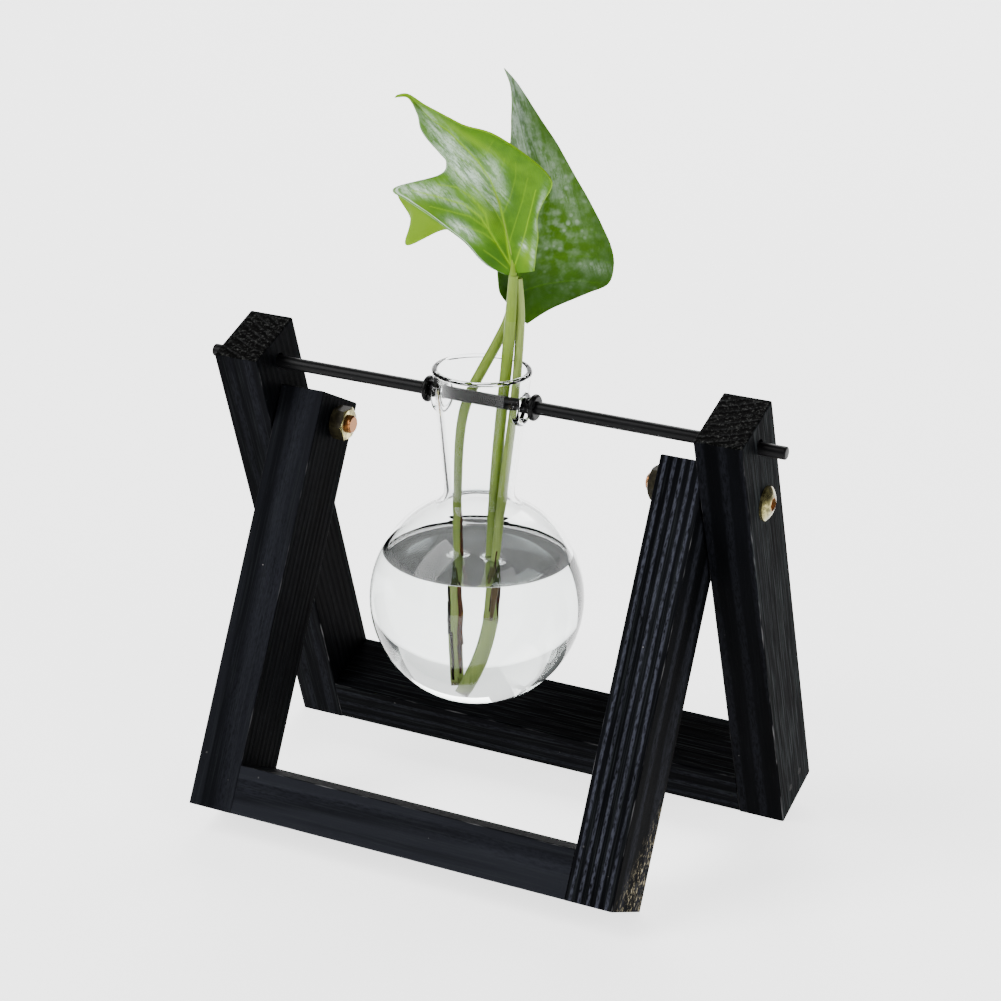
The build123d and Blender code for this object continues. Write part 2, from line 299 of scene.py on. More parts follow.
SETTINGS = {
    "stand_settings": StandSettings,
    "vase_settings": VaseSettings,
    "cutting_settings": CuttingSettings,
    "studio_settings": StudioSettings,
}


# Making pieces


def deselect():
    """Leaves edit mode and selects nothing."""
    if bpy.context.object and bpy.context.object.mode != "OBJECT":
        bpy.ops.object.mode_set(mode="OBJECT")
    bpy.ops.object.select_all(action="DESELECT")


def choose(piece):
    """Selects one piece and makes it the active one."""
    deselect()
    piece.select_set(True)
    bpy.context.view_layer.objects.active = piece


def lathe(name, points, centre, axis, steps):
    """A turned piece: its half outline is drawn point by point, then spun round an axis and closed."""
    deselect()
    bpy.ops.mesh.primitive_plane_add(size=MM, location=(0, 0, 0))
    piece = bpy.context.object
    piece.name = name
    bpy.ops.object.mode_set(mode="EDIT")
    bpy.ops.mesh.merge(type="CENTER")
    bpy.ops.transform.translate(value=points[0])
    for before, after in zip(points, points[1:]):
        bpy.ops.mesh.extrude_region_move(TRANSFORM_OT_translate={"value": after - before})
    bpy.ops.mesh.select_all(action="SELECT")
    bpy.ops.mesh.spin(steps=steps, angle=math.tau, center=centre, axis=axis)
    bpy.ops.mesh.select_all(action="SELECT")
    bpy.ops.mesh.remove_doubles(threshold=MM / 1000)
    bpy.ops.mesh.normals_make_consistent(inside=False)
    bpy.ops.object.mode_set(mode="OBJECT")
    return piece


def apply_boolean(piece, other, operation):
    """Joins another piece to this one, or cuts it away, and deletes the other."""
    choose(piece)
    modifier = piece.modifiers.new("boolean", "BOOLEAN")
    modifier.operation = operation
    modifier.solver = "EXACT"
    modifier.object = other
    bpy.ops.object.modifier_apply(modifier=modifier.name)
    bpy.data.objects.remove(other)


def smooth(piece, degrees=35):
    """Smooth shading with creases where faces meet sharply."""
    choose(piece)
    bpy.ops.object.shade_smooth_by_angle(angle=math.radians(degrees))


def finish_piece(piece, material, body, slot_name, *nodes):
    """Gives a new piece its material and its body, and hides the CAD nodes that it stands for. The slot's
    name is not used.
    """
    piece.data.materials.clear()
    piece.data.materials.append(material)
    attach(piece, body)
    if nodes:
        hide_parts(*nodes)


def finish_node(name, material):
    """Gives a CAD node its material."""
    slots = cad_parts[name].data.materials
    slots.clear()
    slots.append(material)


# Materials


class Finish:
    """A node material, built one node at a time."""

    def __init__(self, name):
        self.material = bpy.data.materials.new(name)
        self.material.use_nodes = True
        self.tree = self.material.node_tree
        self.surface = self.tree.nodes["Principled BSDF"]

    def node(self, kind, inputs, **settings):
        """Adds a node; inputs maps a socket's name or number to a value or to another node's output."""
        made = self.tree.nodes.new(kind)
        for setting, value in settings.items():
            setattr(made, setting, value)
        for socket, value in inputs.items():
            self.feed(made.inputs[socket], value)
        return made

    def feed(self, socket, value):
        """Sets a socket, or links an output to it."""
        if isinstance(value, bpy.types.NodeSocket):
            self.tree.links.new(value, socket)
        else:
            socket.default_value = value

    def math(self, operation, first, second=0.0):
        """Result of a Math node."""
        return self.node("ShaderNodeMath", {0: first, 1: second}, operation=operation).outputs[0]

    def multiply(self, first, *others):
        """Product of two or more values."""
        for other in others:
            first = self.math("MULTIPLY", first, other)
        return first

    def inverse(self, share):
        """What a share leaves of 1."""
        return self.math("SUBTRACT", 1.0, share)

    def span(self, share, low, high):
        """A value that goes from low to high as a share goes from 0 to 1."""
        return self.math("ADD", self.math("MULTIPLY", share, high - low), low)

    def ramp(self, value, low, high):
        """0 below low, 1 above high, smooth between."""
        return self.node(
            "ShaderNodeMapRange", {0: value, 1: low, 2: high, 3: 0.0, 4: 1.0}, interpolation_type="SMOOTHSTEP"
        ).outputs[0]

    def fade(self, value, low, high):
        """1 below low, 0 above high, smooth between."""
        return self.inverse(self.ramp(value, low, high))

    def near(self, value, centre, inside, outside):
        """1 where a value is nearer to a centre than inside, 0 where it is farther than outside."""
        return self.fade(self.math("ABSOLUTE", self.math("SUBTRACT", value, centre)), inside, outside)

    def mix(self, share, first, second):
        """Mix of two colours."""
        colours = [c if isinstance(c, bpy.types.NodeSocket) else (*c, 1.0)[:4] for c in (first, second)]
        inputs = {0: share, 6: colours[0], 7: colours[1]}
        return self.node("ShaderNodeMix", inputs, data_type="RGBA").outputs[2]

    def coordinates(self, location=(0, 0, 0), rotation=(0, 0, 0)):
        """Object coordinates, turned and shifted."""
        return self.mapped(self.node("ShaderNodeTexCoord", {}).outputs["Object"], location, rotation)

    def normal(self):
        """Direction that the surface faces, in the object's frame."""
        return self.node("ShaderNodeTexCoord", {}).outputs["Normal"]

    def mapped(self, vector, location=(0, 0, 0), rotation=(0, 0, 0), scale=(1, 1, 1)):
        """A vector, scaled, turned and shifted."""
        return self.node(
            "ShaderNodeMapping", {0: vector, 1: location, 2: rotation, 3: scale}, vector_type="POINT"
        ).outputs[0]

    def noise(self, vector, scale, detail=3.0, roughness=0.5):
        """A noise texture's value."""
        return self.node(
            "ShaderNodeTexNoise", {"Vector": vector, "Scale": scale, "Detail": detail, "Roughness": roughness}
        ).outputs[0]

    def grain(self, vector, across, along, detail, roughness):
        """Noise drawn out along z, with its cells to the metre across z and along it."""
        return self.noise(self.mapped(vector, scale=(across, across, along)), 1.0, detail, roughness)

    def split(self, vector):
        """The three parts of a vector."""
        return self.node("ShaderNodeSeparateXYZ", {0: vector}).outputs

    def distance(self, first, second, centre):
        """Distance of two coordinates from a centre in their plane."""
        first = self.math("SUBTRACT", first, centre[0])
        second = self.math("SUBTRACT", second, centre[1])
        away = self.node("ShaderNodeCombineXYZ", {0: first, 1: second, 2: 0.0}).outputs[0]
        return self.node("ShaderNodeVectorMath", {0: away}, operation="LENGTH").outputs["Value"]

    def bump(self, height, strength, distance):
        """Roughens the surface by a height."""
        normal = self.node("ShaderNodeBump", {"Height": height, "Strength": strength, "Distance": distance})
        self.feed(self.surface.inputs["Normal"], normal.outputs[0])

    def set(self, **values):
        """Sets the surface's sockets, named with underscores for spaces."""
        for name, value in values.items():
            socket = self.surface.inputs[name.replace("_", " ")]
            if isinstance(value, (tuple, bpy.types.bpy_prop_array, Vector)) and len(value) == 3:
                value = (*value, 1.0)
            self.feed(socket, value)
        return self.material


# Look of each wooden piece: middle of its growth rings across the grain in millimetres, strength of the
# raised lines, wear of the edges with their painted highlight, fine grain on the sides and on the front,
# whose strengths also paint light and shade, haze of painted blue sheen on the front, and whether it has the
# bare brushed patch
WOOD_LOOKS = {
    "front_leg_right": {
        "rings": (-120, 30), "lines": 1.0, "wear": 0.8,
        "sides": 0.02, "front": 0.30, "haze": 0.15, "brushed": True,
    },
    "front_leg_left": {
        "rings": (3, 34), "lines": 0.12, "wear": 0.5,
        "sides": 0.16, "front": 0.16, "haze": 0.52, "brushed": False,
    },
    "front_bar": {
        "rings": (6, 30), "lines": 0.14, "wear": 1.0,
        "sides": 0.20, "front": 0.18, "haze": 1.1, "brushed": False,
    },
    "back_leg_right": {
        "rings": (-40, 90), "lines": 0.10, "wear": 0.8,
        "sides": 1.0, "front": 0.02, "haze": 0.0, "brushed": False,
    },
    "back_leg_left": {
        "rings": (30, 60), "lines": 0.12, "wear": 0.8,
        "sides": 0.10, "front": 0.20, "haze": 0.12, "brushed": False,
    },
    "back_bar": {
        "rings": (-60, 70), "lines": 0.14, "wear": 0.5,
        "sides": 0.45, "front": 0.20, "haze": 0.0, "brushed": False,
    },
}
PAINTED_BLUE_SHEEN = (0.0112, 0.0120, 0.0152)
FINE_GRAIN_AND_PAINTED_LIGHT = (0.022, 0.026, 0.027)
END_PORES = (0.001, 0.001, 0.001)
END_GRIT = (0.044, 0.045, 0.043)
END_RINGS = (0.036, 0.037, 0.038)
WORN_EDGE_AND_HIGHLIGHT = (0.16, 0.16, 0.165)
DUST = (0.35, 0.34, 0.33)
# Radians that Blender's wave texture turns through in one unit at scale 1
WAVE_FREQUENCY = 20
# How fast the rings' wavering changes along the grain, against across it
RING_DRIFT = 0.22
# The brushed patch grows stronger from this far below a leg's middle, by this much to the metre
BRUSHED_DROP = 36 * MM
BRUSHED_GROWTH = 1.6 / (34 * MM)


def black_wood(name, node, lean, look):
    """Black-stained pine with raised growth rings, worn edges with a painted highlight and a few specks. Its
    fine grain is stronger on some faces as painted light, its front can have a soft blue haze of painted
    sheen, and a brushed piece shows bare wood low on its right side. The pattern is set square to the piece:
    its z runs along the grain, its x and y across it."""
    stand = bpy.context.scene.stand_settings
    finish = Finish(name)
    turn = Euler((lean, math.radians(-90) if node.endswith("bar") else 0, 0))
    place = finish.coordinates(-(turn.to_matrix() @ middle(node)), turn)
    across, deep, along = finish.split(place)

    ring_x, ring_y = look["rings"]
    rings_place = finish.mapped(place, (-ring_x * MM, -ring_y * MM, 0), scale=(1, 1, RING_DRIFT))
    rings = finish.node(
        "ShaderNodeTexWave",
        {
            "Vector": rings_place,
            "Scale": math.tau / WAVE_FREQUENCY / stand.ring_spacing,
            "Distortion": 2.2,
            "Detail": 3.0,
            "Detail Scale": 0.55,
            "Detail Roughness": 0.5,
        },
        wave_type="RINGS",
        rings_direction="Z",
        wave_profile="SIN",
    ).outputs["Fac"]
    fibres = finish.grain(place, 1500, 70, 4.0, 0.6)
    dots = finish.grain(place, 1700, 480, 3.0, 0.6)
    drift = finish.grain(place, 90, 14, 2.0, 0.5)
    facing = finish.split(finish.mapped(finish.normal(), rotation=turn))
    broad_face = finish.ramp(finish.math("ABSOLUTE", facing[1]), 0.4, 0.8)
    end_face = finish.ramp(finish.math("ABSOLUTE", facing[2]), 0.4, 0.8)

    cloud = finish.ramp(finish.grain(place, 60, 9, 3.0, 0.55), 0.38, 0.68)
    colour = finish.mix(cloud, stand.stain, [v * 2.2 for v in stand.stain])
    bands = finish.ramp(finish.grain(place, 170, 7, 2.0, 0.45), 0.36, 0.60)
    # Painted sheen: a soft blue haze on the broad faces, broken into bands
    haze = finish.multiply(finish.span(bands, 0.38, 1.0), broad_face, look["haze"])
    colour = finish.mix(haze, colour, PAINTED_BLUE_SHEEN)
    # Fine grain, partly painted light: its strength on each piece's sides and front is set so that lit faces,
    # such as the back right leg's side, come out lighter
    fine = finish.ramp(finish.grain(place, 2600, 45, 2.0, 0.5), 0.50, 0.70)
    fine = finish.multiply(fine, finish.span(broad_face, look["sides"], look["front"]))
    colour = finish.mix(fine, colour, FINE_GRAIN_AND_PAINTED_LIGHT)
    lines = finish.multiply(
        finish.ramp(rings, 0.50, 0.92),
        finish.ramp(dots, 0.30, 0.62),
        finish.ramp(drift, 0.22, 0.50),
        finish.span(broad_face, 0.28, 1.0),
        look["lines"],
    )
    colour = finish.mix(lines, colour, stand.late_wood)

    # End grain: gritty pores and the arcs of the rings
    grit = finish.ramp(finish.noise(place, 900.0, 4.0, 0.75), 0.52, 0.70)
    end_colour = finish.mix(grit, END_PORES, END_GRIT)
    arcs = finish.multiply(finish.ramp(rings, 0.7, 1.0), finish.ramp(dots, 0.40, 0.65), 0.40)
    end_colour = finish.mix(arcs, end_colour, END_RINGS)
    colour = finish.mix(end_face, colour, end_colour)

    # Edges lighter where the stain is thin, and as a painted highlight
    half_x = finish.math("DIVIDE", finish.math("ABSOLUTE", across), leg_thickness / 2)
    half_y = finish.math("DIVIDE", finish.math("ABSOLUTE", deep), stand.stock_depth / 2)
    edge = finish.ramp(finish.math("MINIMUM", half_x, half_y), 0.955, 0.985)
    chips = finish.ramp(finish.grain(place, 500, 60, 3.0, 0.6), 0.50, 0.72)
    colour = finish.mix(finish.multiply(edge, chips, look["wear"]), colour, WORN_EDGE_AND_HIGHLIGHT)
    if look["brushed"]:
        low = finish.multiply(finish.math("ADD", along, BRUSHED_DROP), -BRUSHED_GROWTH)
        reach = finish.math("ADD", finish.math("DIVIDE", deep, stand.stock_depth / 2), low)
        patch = finish.multiply(finish.ramp(reach, 0.55, 1.5), finish.ramp(facing[0], 0.4, 0.8))
        bristles = finish.ramp(finish.grain(place, 1300, 520, 4.0, 0.7), 0.54, 0.64)
        colour = finish.mix(finish.multiply(bristles, patch), colour, stand.bare_wood)

    # Rare specks of dust
    cells = finish.node(
        "ShaderNodeTexVoronoi", {"Vector": place, "Scale": 210.0, "Randomness": 1.0}, feature="F1"
    )
    rare = finish.ramp(finish.split(cells.outputs["Color"])[0], 0.84, 0.90)
    speck = finish.fade(cells.outputs["Distance"], 0.05, 0.09)
    colour = finish.mix(finish.multiply(rare, speck), colour, DUST)

    height = finish.math("ADD", finish.multiply(rings, 0.55), finish.multiply(fibres, 0.45))
    finish.bump(height, 0.55, 0.20 * MM)
    return finish.set(Base_Color=colour, Roughness=finish.span(fibres, 0.5, 0.75), Specular_IOR_Level=0.008)


PAINTED_WALL_REFLECTION = (0.006, 0.005, 0.004)
BROWN_RECESS = (0.34, 0.18, 0.07)
RECESS_RADIUS = 2.1 * MM
# One colour of the plating passes into the next within this distance of its edge
SOFT_EDGE = 0.3 * MM


def plated_metal(name, node, colour, end_colour, inner_reach, painted_dark_walls):
    """Pale plating with darker patches that are painted dark reflections, faint tool marks, and walls that
    can be painted darker than its ends as a dark reflection. Nearer the middle than a given reach the shank
    shows browner metal, and the driver's recess is brown."""
    finish = Finish(name)
    place = finish.coordinates()
    across, deep, high = finish.split(place)
    # Darker patches: painted dark reflections on the pale metal, which also make it rougher
    stain = finish.ramp(finish.noise(place, 380.0, 4.0, 0.6), 0.40, 0.60)
    base = finish.mix(finish.multiply(stain, 0.9), colour, [v * 0.22 for v in colour])
    # Walls facing sideways: painted dark reflection of the black wood, not metallic where painted
    face = finish.math("ABSOLUTE", finish.split(finish.normal())[0])
    wall = finish.multiply(finish.fade(face, 0.10, 0.45), painted_dark_walls)
    base = finish.mix(wall, base, PAINTED_WALL_REFLECTION)
    inner = finish.fade(finish.math("ABSOLUTE", across), inner_reach - SOFT_EDGE, inner_reach + SOFT_EDGE)
    base = finish.mix(inner, base, end_colour)
    away = finish.distance(deep, high, middle(node).yz)
    recess = finish.fade(away, RECESS_RADIUS, RECESS_RADIUS + SOFT_EDGE)
    recess = finish.multiply(recess, finish.inverse(inner))
    base = finish.mix(recess, base, BROWN_RECESS)
    finish.bump(finish.noise(place, 900.0, 3.0, 0.55), 0.35, 0.06 * MM)
    finish.set(Base_Color=base, Metallic=finish.inverse(wall))
    return finish.set(Roughness=finish.span(stain, 0.14, 0.26), Specular_IOR_Level=0.02)


def dark_steel(name):
    """Blackened heads of the brads, slightly scratched."""
    finish = Finish(name)
    scratches = finish.ramp(finish.noise(finish.coordinates(), 1500.0, 3.0, 0.6), 0.45, 0.70)
    base = finish.mix(scratches, (0.004, 0.004, 0.004), (0.022, 0.022, 0.023))
    finish.bump(scratches, 0.3, 0.03 * MM)
    return finish.set(Base_Color=base, Roughness=0.5, Specular_IOR_Level=0.015)


def rod_paint(name, colour):
    """Glossy black paint over steel, with a light orange peel and a few scuffs."""
    finish = Finish(name)
    place = finish.coordinates()
    scuffs = finish.noise(finish.mapped(place, scale=(60, 900, 900)), 1.0, 4.0, 0.6)
    scuffs = finish.ramp(scuffs, 0.60, 0.78)
    base = finish.mix(finish.multiply(scuffs, 0.4), colour, (0.02, 0.02, 0.021))
    finish.bump(finish.noise(place, 700.0, 2.0, 0.5), 0.12, 0.05 * MM)
    return finish.set(Base_Color=base, Roughness=finish.span(scuffs, 0.34, 0.54), Specular_IOR_Level=0.07)


def rubber(name):
    """Glossy moulded black rubber."""
    finish = Finish(name)
    place = finish.coordinates()
    bloom = finish.ramp(finish.noise(place, 900.0, 3.0, 0.6), 0.45, 0.75)
    base = finish.mix(bloom, (0.002, 0.002, 0.002), (0.008, 0.008, 0.009))
    finish.bump(finish.noise(place, 1500.0, 2.0, 0.5), 0.15, 0.04 * MM)
    return finish.set(Base_Color=base, Roughness=finish.span(bloom, 0.24, 0.42), Specular_IOR_Level=0.07)


# Tint and refractive indices of glass and water
CLEAR = (0.975, 0.99, 0.985)
GLASS_INDEX = 1.5
WATER_INDEX = 1.333
# Where the water's painted grey reflection ends, as shares of its reach: full inside the first, gone outside
# the second
REFLECTION_END = (0.84, 0.91)


def clear_glass(name):
    """Blown glass: clear, with a very slow ripple in its surface."""
    finish = Finish(name)
    finish.bump(finish.grain(finish.coordinates(), 60, 34, 2.0, 0.4), 0.22, 0.6 * MM)
    finish.set(Base_Color=CLEAR, Roughness=0.0, IOR=GLASS_INDEX)
    return finish.set(Transmission_Weight=1.0, Specular_Tint=(0.17, 0.17, 0.17))


def still_water(name, reach):
    """Still water, whose level surface has a painted grey reflection. It ends short of the glass, which the
    water meets at a given reach."""
    finish = Finish(name)
    place = finish.coordinates()
    finish.bump(finish.noise(place, 90.0, 2.0, 0.4), 0.04, 0.4 * MM)
    across, deep, _ = finish.split(place)
    clouds = finish.ramp(finish.noise(place, 60.0, 3.0, 0.5), 0.35, 0.65)
    # Painted reflection: greys on the level surface stand in for the surroundings that it reflects
    painted_reflection = finish.mix(clouds, (0.13, 0.16, 0.17), (0.22, 0.25, 0.26))
    reflection_end = [share * reach for share in REFLECTION_END]
    inside = finish.fade(finish.distance(across, deep, vase_seat.xy), *reflection_end)
    level = finish.ramp(finish.split(finish.normal())[2], 0.85, 0.98)
    base = finish.mix(finish.multiply(inside, level), CLEAR, painted_reflection)
    return finish.set(Base_Color=base, Roughness=0.0, IOR=WATER_INDEX, Transmission_Weight=1.0)


NODE_RING = (0.13, 0.17, 0.004)
OCHRE_FLAKES = (0.30, 0.22, 0.06)


def stem_skin(name, green, pale, shade, low, high, brown_below=None, ringed=False):
    """Waxy stem: paler towards its foot, shaded along its left, with lengthwise ribs and a few scars. Its
    colour turns from pale to green between two heights, and below a third it is brown. It can have the
    ring of a node."""
    root_brown = bpy.context.scene.cutting_settings.root_brown
    finish = Finish(name)
    place = finish.coordinates()
    height = finish.split(place)[2]
    ribs = finish.grain(place, 1400, 50, 3.0, 0.55)
    patches = finish.ramp(finish.grain(place, 120, 40, 3.0, 0.5), 0.34, 0.66)
    base = finish.mix(patches, green, [a * 0.7 + b * 0.3 for a, b in zip(green, pale)])
    base = finish.mix(finish.multiply(finish.fade(height, low, high), 0.85), base, pale)
    left = finish.fade(finish.split(finish.normal())[0], -0.9, 0.6)
    base = finish.mix(finish.multiply(left, 0.35), base, shade)
    base = finish.mix(finish.multiply(finish.ramp(ribs, 0.45, 0.7), 0.30), base, shade)
    scars = finish.ramp(finish.grain(place, 500, 130, 4.0, 0.6), 0.68, 0.76)
    base = finish.mix(finish.multiply(scars, 0.7), base, root_brown)
    if brown_below is not None:
        old = finish.fade(height, brown_below - 1.5 * MM, brown_below + 0.5 * MM)
        base = finish.mix(finish.multiply(old, 0.92), base, [v * 0.8 for v in root_brown])
    if ringed:
        ring = finish.near(height, stem_node_height(), 0.15 * MM, 0.6 * MM)
        base = finish.mix(finish.multiply(ring, 0.8), base, NODE_RING)
    finish.bump(ribs, 0.35, 0.12 * MM)
    return finish.set(Base_Color=base, Roughness=0.42, Specular_IOR_Level=0.3)


def root_skin(name, share):
    """Old root: a share of the dark red-brown, flaking to ochre."""
    finish = Finish(name)
    brown = [v * share for v in bpy.context.scene.cutting_settings.root_brown]
    flakes = finish.grain(finish.coordinates(), 900, 350, 4.0, 0.65)
    base = finish.mix(finish.ramp(flakes, 0.35, 0.65), [v * 0.35 for v in brown], brown)
    base = finish.mix(finish.multiply(finish.ramp(flakes, 0.66, 0.74), share), base, OCHRE_FLAKES)
    finish.bump(flakes, 0.6, 0.15 * MM)
    return finish.set(Base_Color=base, Roughness=0.6, Specular_IOR_Level=0.2)


# Where the folded leaf's lobe turns under and where its edge is rolled, with painted backlight, in the
# blade's own u and v
UNDERSIDE_END = (0.046, 0.056)
HEM_PLACE = 0.066
ROLL_START = (0.955, 0.985)
ROLL_FOOT = (0.50, 0.62)
RIM_START = (0.484, 0.495)


def leaf_skin(name, base, deep, bright, silver_and_painted_sheen, speckles, vein_tone, sheen_direction, folded):
    """Waxy leaf. The blade carries its own tone map, grown with its net: how strongly each place
    is vein, painted silver sheen, young bright green with painted backlight on a rolled edge, and deep green.
    Its UV map runs from edge to edge in u and from base to tip in v, and its sheet map lies flat on the
    blade."""
    finish = Finish(name)
    u, v, _ = finish.split(finish.node("ShaderNodeTexCoord", {}).outputs["UV"])
    sheet = finish.node("ShaderNodeAttribute", {}, attribute_name="sheet").outputs["Vector"]
    tone_map = finish.node("ShaderNodeAttribute", {}, attribute_name="tone")
    vein, sheen, young_and_backlit = finish.split(tone_map.outputs["Vector"])
    from_rib = finish.math("ABSOLUTE", finish.math("SUBTRACT", u, 0.5))

    # Fine side veins run nearly along the midrib and sweep out towards the edge
    sweep = finish.math("SUBTRACT", v, finish.multiply(from_rib, 1.5))
    sweep = finish.math("ADD", sweep, finish.multiply(finish.noise(sheet, 4.0, 2.0, 0.5), 0.12))
    fine_wave = finish.math("SINE", finish.multiply(sweep, 210.0))
    pebbles = finish.noise(finish.mapped(sheet, scale=(60, 60, 1)), 1.0, 3.0, 0.6)

    mottle = finish.ramp(finish.noise(sheet, 7.0, 4.0, 0.6), 0.36, 0.66)
    colour = finish.mix(finish.multiply(mottle, 0.55), base, deep)
    colour = finish.mix(tone_map.outputs["Alpha"], colour, deep)
    # Young green, and painted backlight along the front leaf's rolled edge
    colour = finish.mix(young_and_backlit, colour, bright)

    # Painted sheen: silver where the waxy blade would reflect light, broken into streaks, pores and fine
    # lines
    streaks = finish.mapped(sheet, rotation=(0, 0, math.radians(-sheen_direction)))
    streaks = finish.ramp(finish.noise(finish.mapped(streaks, scale=(5, 21, 1)), 1.0, 5.0, 0.7), 0.40, 0.58)
    pores = finish.ramp(finish.noise(sheet, 45.0, 3.0, 0.7), 0.34, 0.60)
    broken = finish.multiply(streaks, finish.span(pores, 0.55, 1.0))
    shine = finish.multiply(sheen, finish.span(broken, 0.25, 1.2))
    shine = finish.multiply(shine, finish.inverse(finish.multiply(finish.ramp(fine_wave, 0.2, 1.0), 0.15)))
    colour = finish.mix(finish.math("MINIMUM", shine, 1.0), colour, silver_and_painted_sheen)
    if speckles:
        cells = finish.node(
            "ShaderNodeTexVoronoi", {"Vector": sheet, "Scale": 13.0, "Randomness": 1.0}, feature="SMOOTH_F1"
        )
        chance = finish.ramp(finish.noise(sheet, 5.0, 2.0, 0.5), 0.38, 0.62)
        spots = finish.multiply(finish.fade(cells.outputs["Distance"], 0.08, 0.42), chance)
        haze = finish.ramp(finish.noise(sheet, 10.0, 2.0, 0.5), 0.40, 0.75)
        spots = finish.math("MAXIMUM", spots, finish.multiply(haze, 0.45))
        colour = finish.mix(finish.multiply(spots, young_and_backlit, speckles), colour, silver_and_painted_sheen)
    colour = finish.mix(vein, colour, vein_tone)
    if folded:
        # Rolled edge: painted backlight, a brighter green where light would shine through the blade
        roll = finish.multiply(finish.ramp(u, *ROLL_START), finish.ramp(v, *ROLL_FOOT))
        colour = finish.mix(roll, colour, [c * 1.3 for c in bright])
        colour = finish.mix(finish.fade(u, *UNDERSIDE_END), colour, [c * 0.72 for c in bright])
        hem = finish.near(u, HEM_PLACE, 0.004, 0.012)
        colour = finish.mix(finish.multiply(hem, 0.6), colour, silver_and_painted_sheen)
    rim = finish.ramp(from_rib, *RIM_START)
    colour = finish.mix(finish.multiply(rim, 0.7), colour, [c * 0.8 for c in vein_tone])
    height = finish.math("ADD", finish.multiply(fine_wave, 0.30), finish.multiply(pebbles, 0.9))
    finish.bump(height, 0.45, 0.10 * MM)
    roughness = finish.math("SUBTRACT", finish.span(pebbles, 0.36, 0.56), finish.multiply(sheen, 0.2))
    return finish.set(Base_Color=colour, Roughness=roughness, Specular_IOR_Level=0.09)


# Camera, used by the stage and by the leaves, whose outlines were read from the photograph's pixels

PHOTO_WIDTH = 1001
# In millimetres, as the lens is
SENSOR_WIDTH = 36


def camera_axes():
    """Camera's place and its right, up and backward directions."""
    studio = bpy.context.scene.studio_settings
    azimuth, elevation, roll = studio.azimuth, studio.elevation, studio.roll
    flat = math.cos(elevation)
    back = Vector((math.sin(azimuth) * flat, -math.cos(azimuth) * flat, math.sin(elevation)))
    level = Vector((math.cos(azimuth), math.sin(azimuth), 0))
    rise = back.cross(level)
    right = math.cos(roll) * level + math.sin(roll) * rise
    up = math.cos(roll) * rise - math.sin(roll) * level
    place = Vector(studio.target) + studio.distance * back
    return place, right, up, back


def pixel_on_plane(pixel_x, pixel_y, point, normal, lift=0.0):
    """Where the photograph's pixel meets a plane, moved towards the camera by a lift."""
    studio = bpy.context.scene.studio_settings
    place, right, up, back = camera_axes()
    focal = studio.lens / SENSOR_WIDTH * PHOTO_WIDTH
    ray = (pixel_x - PHOTO_WIDTH / 2) / focal * right - (pixel_y - PHOTO_WIDTH / 2) / focal * up - back
    reach = (point - place).dot(normal) / ray.dot(normal)
    return place + (reach - lift / ray.length) * ray


# Glass and water

UP = Vector((0, 0, 1))
ALONG_ROD = Vector((1, 0, 0))
TURNED_STEPS = 160
COLLAR_STEPS = 96
# Points on the half outline of the glass: on the bulb, on the round above it and on the neck
BULB_STEPS = 72
ROUND_STEPS = 14
NECK_STEPS = 30
CORNER_STEPS = 10
LIP_STEPS = 18
# The neck's wall ends in the lip, this share of the lip's radius below its middle
LIP_OVERLAP = 0.4
# A rim's edges are rounded by this share of half its width
RIM_ROUND_SHARE = 0.95
# A rim is turned this long, and what passes this share of the wall's thickness is trimmed off inside
COLLAR_LENGTH = 4.5 * MM
TRIM_SHARE = 0.9
# The cutter of a rod hole starts this far from the vase's axis
CUTTER_START = 5 * MM


def on_circle(angle):
    """Point of the unit circle at an angle."""
    return Vector((math.cos(angle), math.sin(angle)))


def arc_points(centre, radius, first, last, steps):
    """Points on an arc, with angles in degrees."""
    angles = [math.radians(first + (last - first) * step / steps) for step in range(steps + 1)]
    return [Vector(centre) + radius * on_circle(angle) for angle in angles]


def neck_round(shape):
    """Centre of the round between bulb and neck, from the rod, and the way out of the neck's side, both as
    (radius, height)."""
    foot = -bulb_drop + math.sqrt(bulb_radius**2 - shape.neck_radius**2)
    slope = math.atan((shape.mouth_radius - shape.neck_radius) / (mouth_rise - foot))
    outward = Vector((math.cos(slope), -math.sin(slope)))
    upward = Vector((math.sin(slope), math.cos(slope)))
    start = Vector((shape.neck_radius, foot)) + outward * shape.neck_fillet - Vector((0, -bulb_drop))
    along = start.dot(upward)
    gap = start.dot(start) - (bulb_radius + shape.neck_fillet) ** 2
    step = -along + math.sqrt(along**2 - gap)
    return start + upward * step + Vector((0, -bulb_drop)), outward


def wall_outline(shape, inset, top):
    """Half outline of the vase from the bottom of the bulb to a height, drawn in from the outside by an
    inset."""
    centre, outward = neck_round(shape)
    bulb_centre = Vector((0, -bulb_drop))
    to_round = (centre - bulb_centre).normalized()
    last_angle = math.atan2(to_round.y, to_round.x)
    outline = []
    for step in range(BULB_STEPS + 1):
        angle = -math.pi / 2 + (last_angle + math.pi / 2) * step / BULB_STEPS
        outline.append(bulb_centre + (bulb_radius - inset) * on_circle(angle))
    first = math.atan2(-to_round.y, -to_round.x)
    last = math.atan2(-outward.y, -outward.x)
    if last < first:
        first -= math.tau
    if last - first > math.pi:
        last -= math.tau
    for step in range(1, ROUND_STEPS + 1):
        angle = first + (last - first) * step / ROUND_STEPS
        outline.append(centre + (shape.neck_fillet + inset) * on_circle(angle))
    foot = outline[-1]
    upward = Vector((-outward.y, outward.x))
    length = (top - foot.y) / upward.y
    for step in range(1, NECK_STEPS + 1):
        outline.append(foot + upward * length * step / NECK_STEPS)
    return outline


def upright(outline):
    """An outline of radii and heights, set on the vase's axis."""
    return [vase_seat + Vector((max(radius, 0), 0, height)) for radius, height in outline]


def sideways(side, outline, drop):
    """An outline of reaches and radii, set on an axis along X that lies below the rod by a drop."""
    return [vase_seat + Vector((side * reach, 0, radius - drop)) for reach, radius in outline]


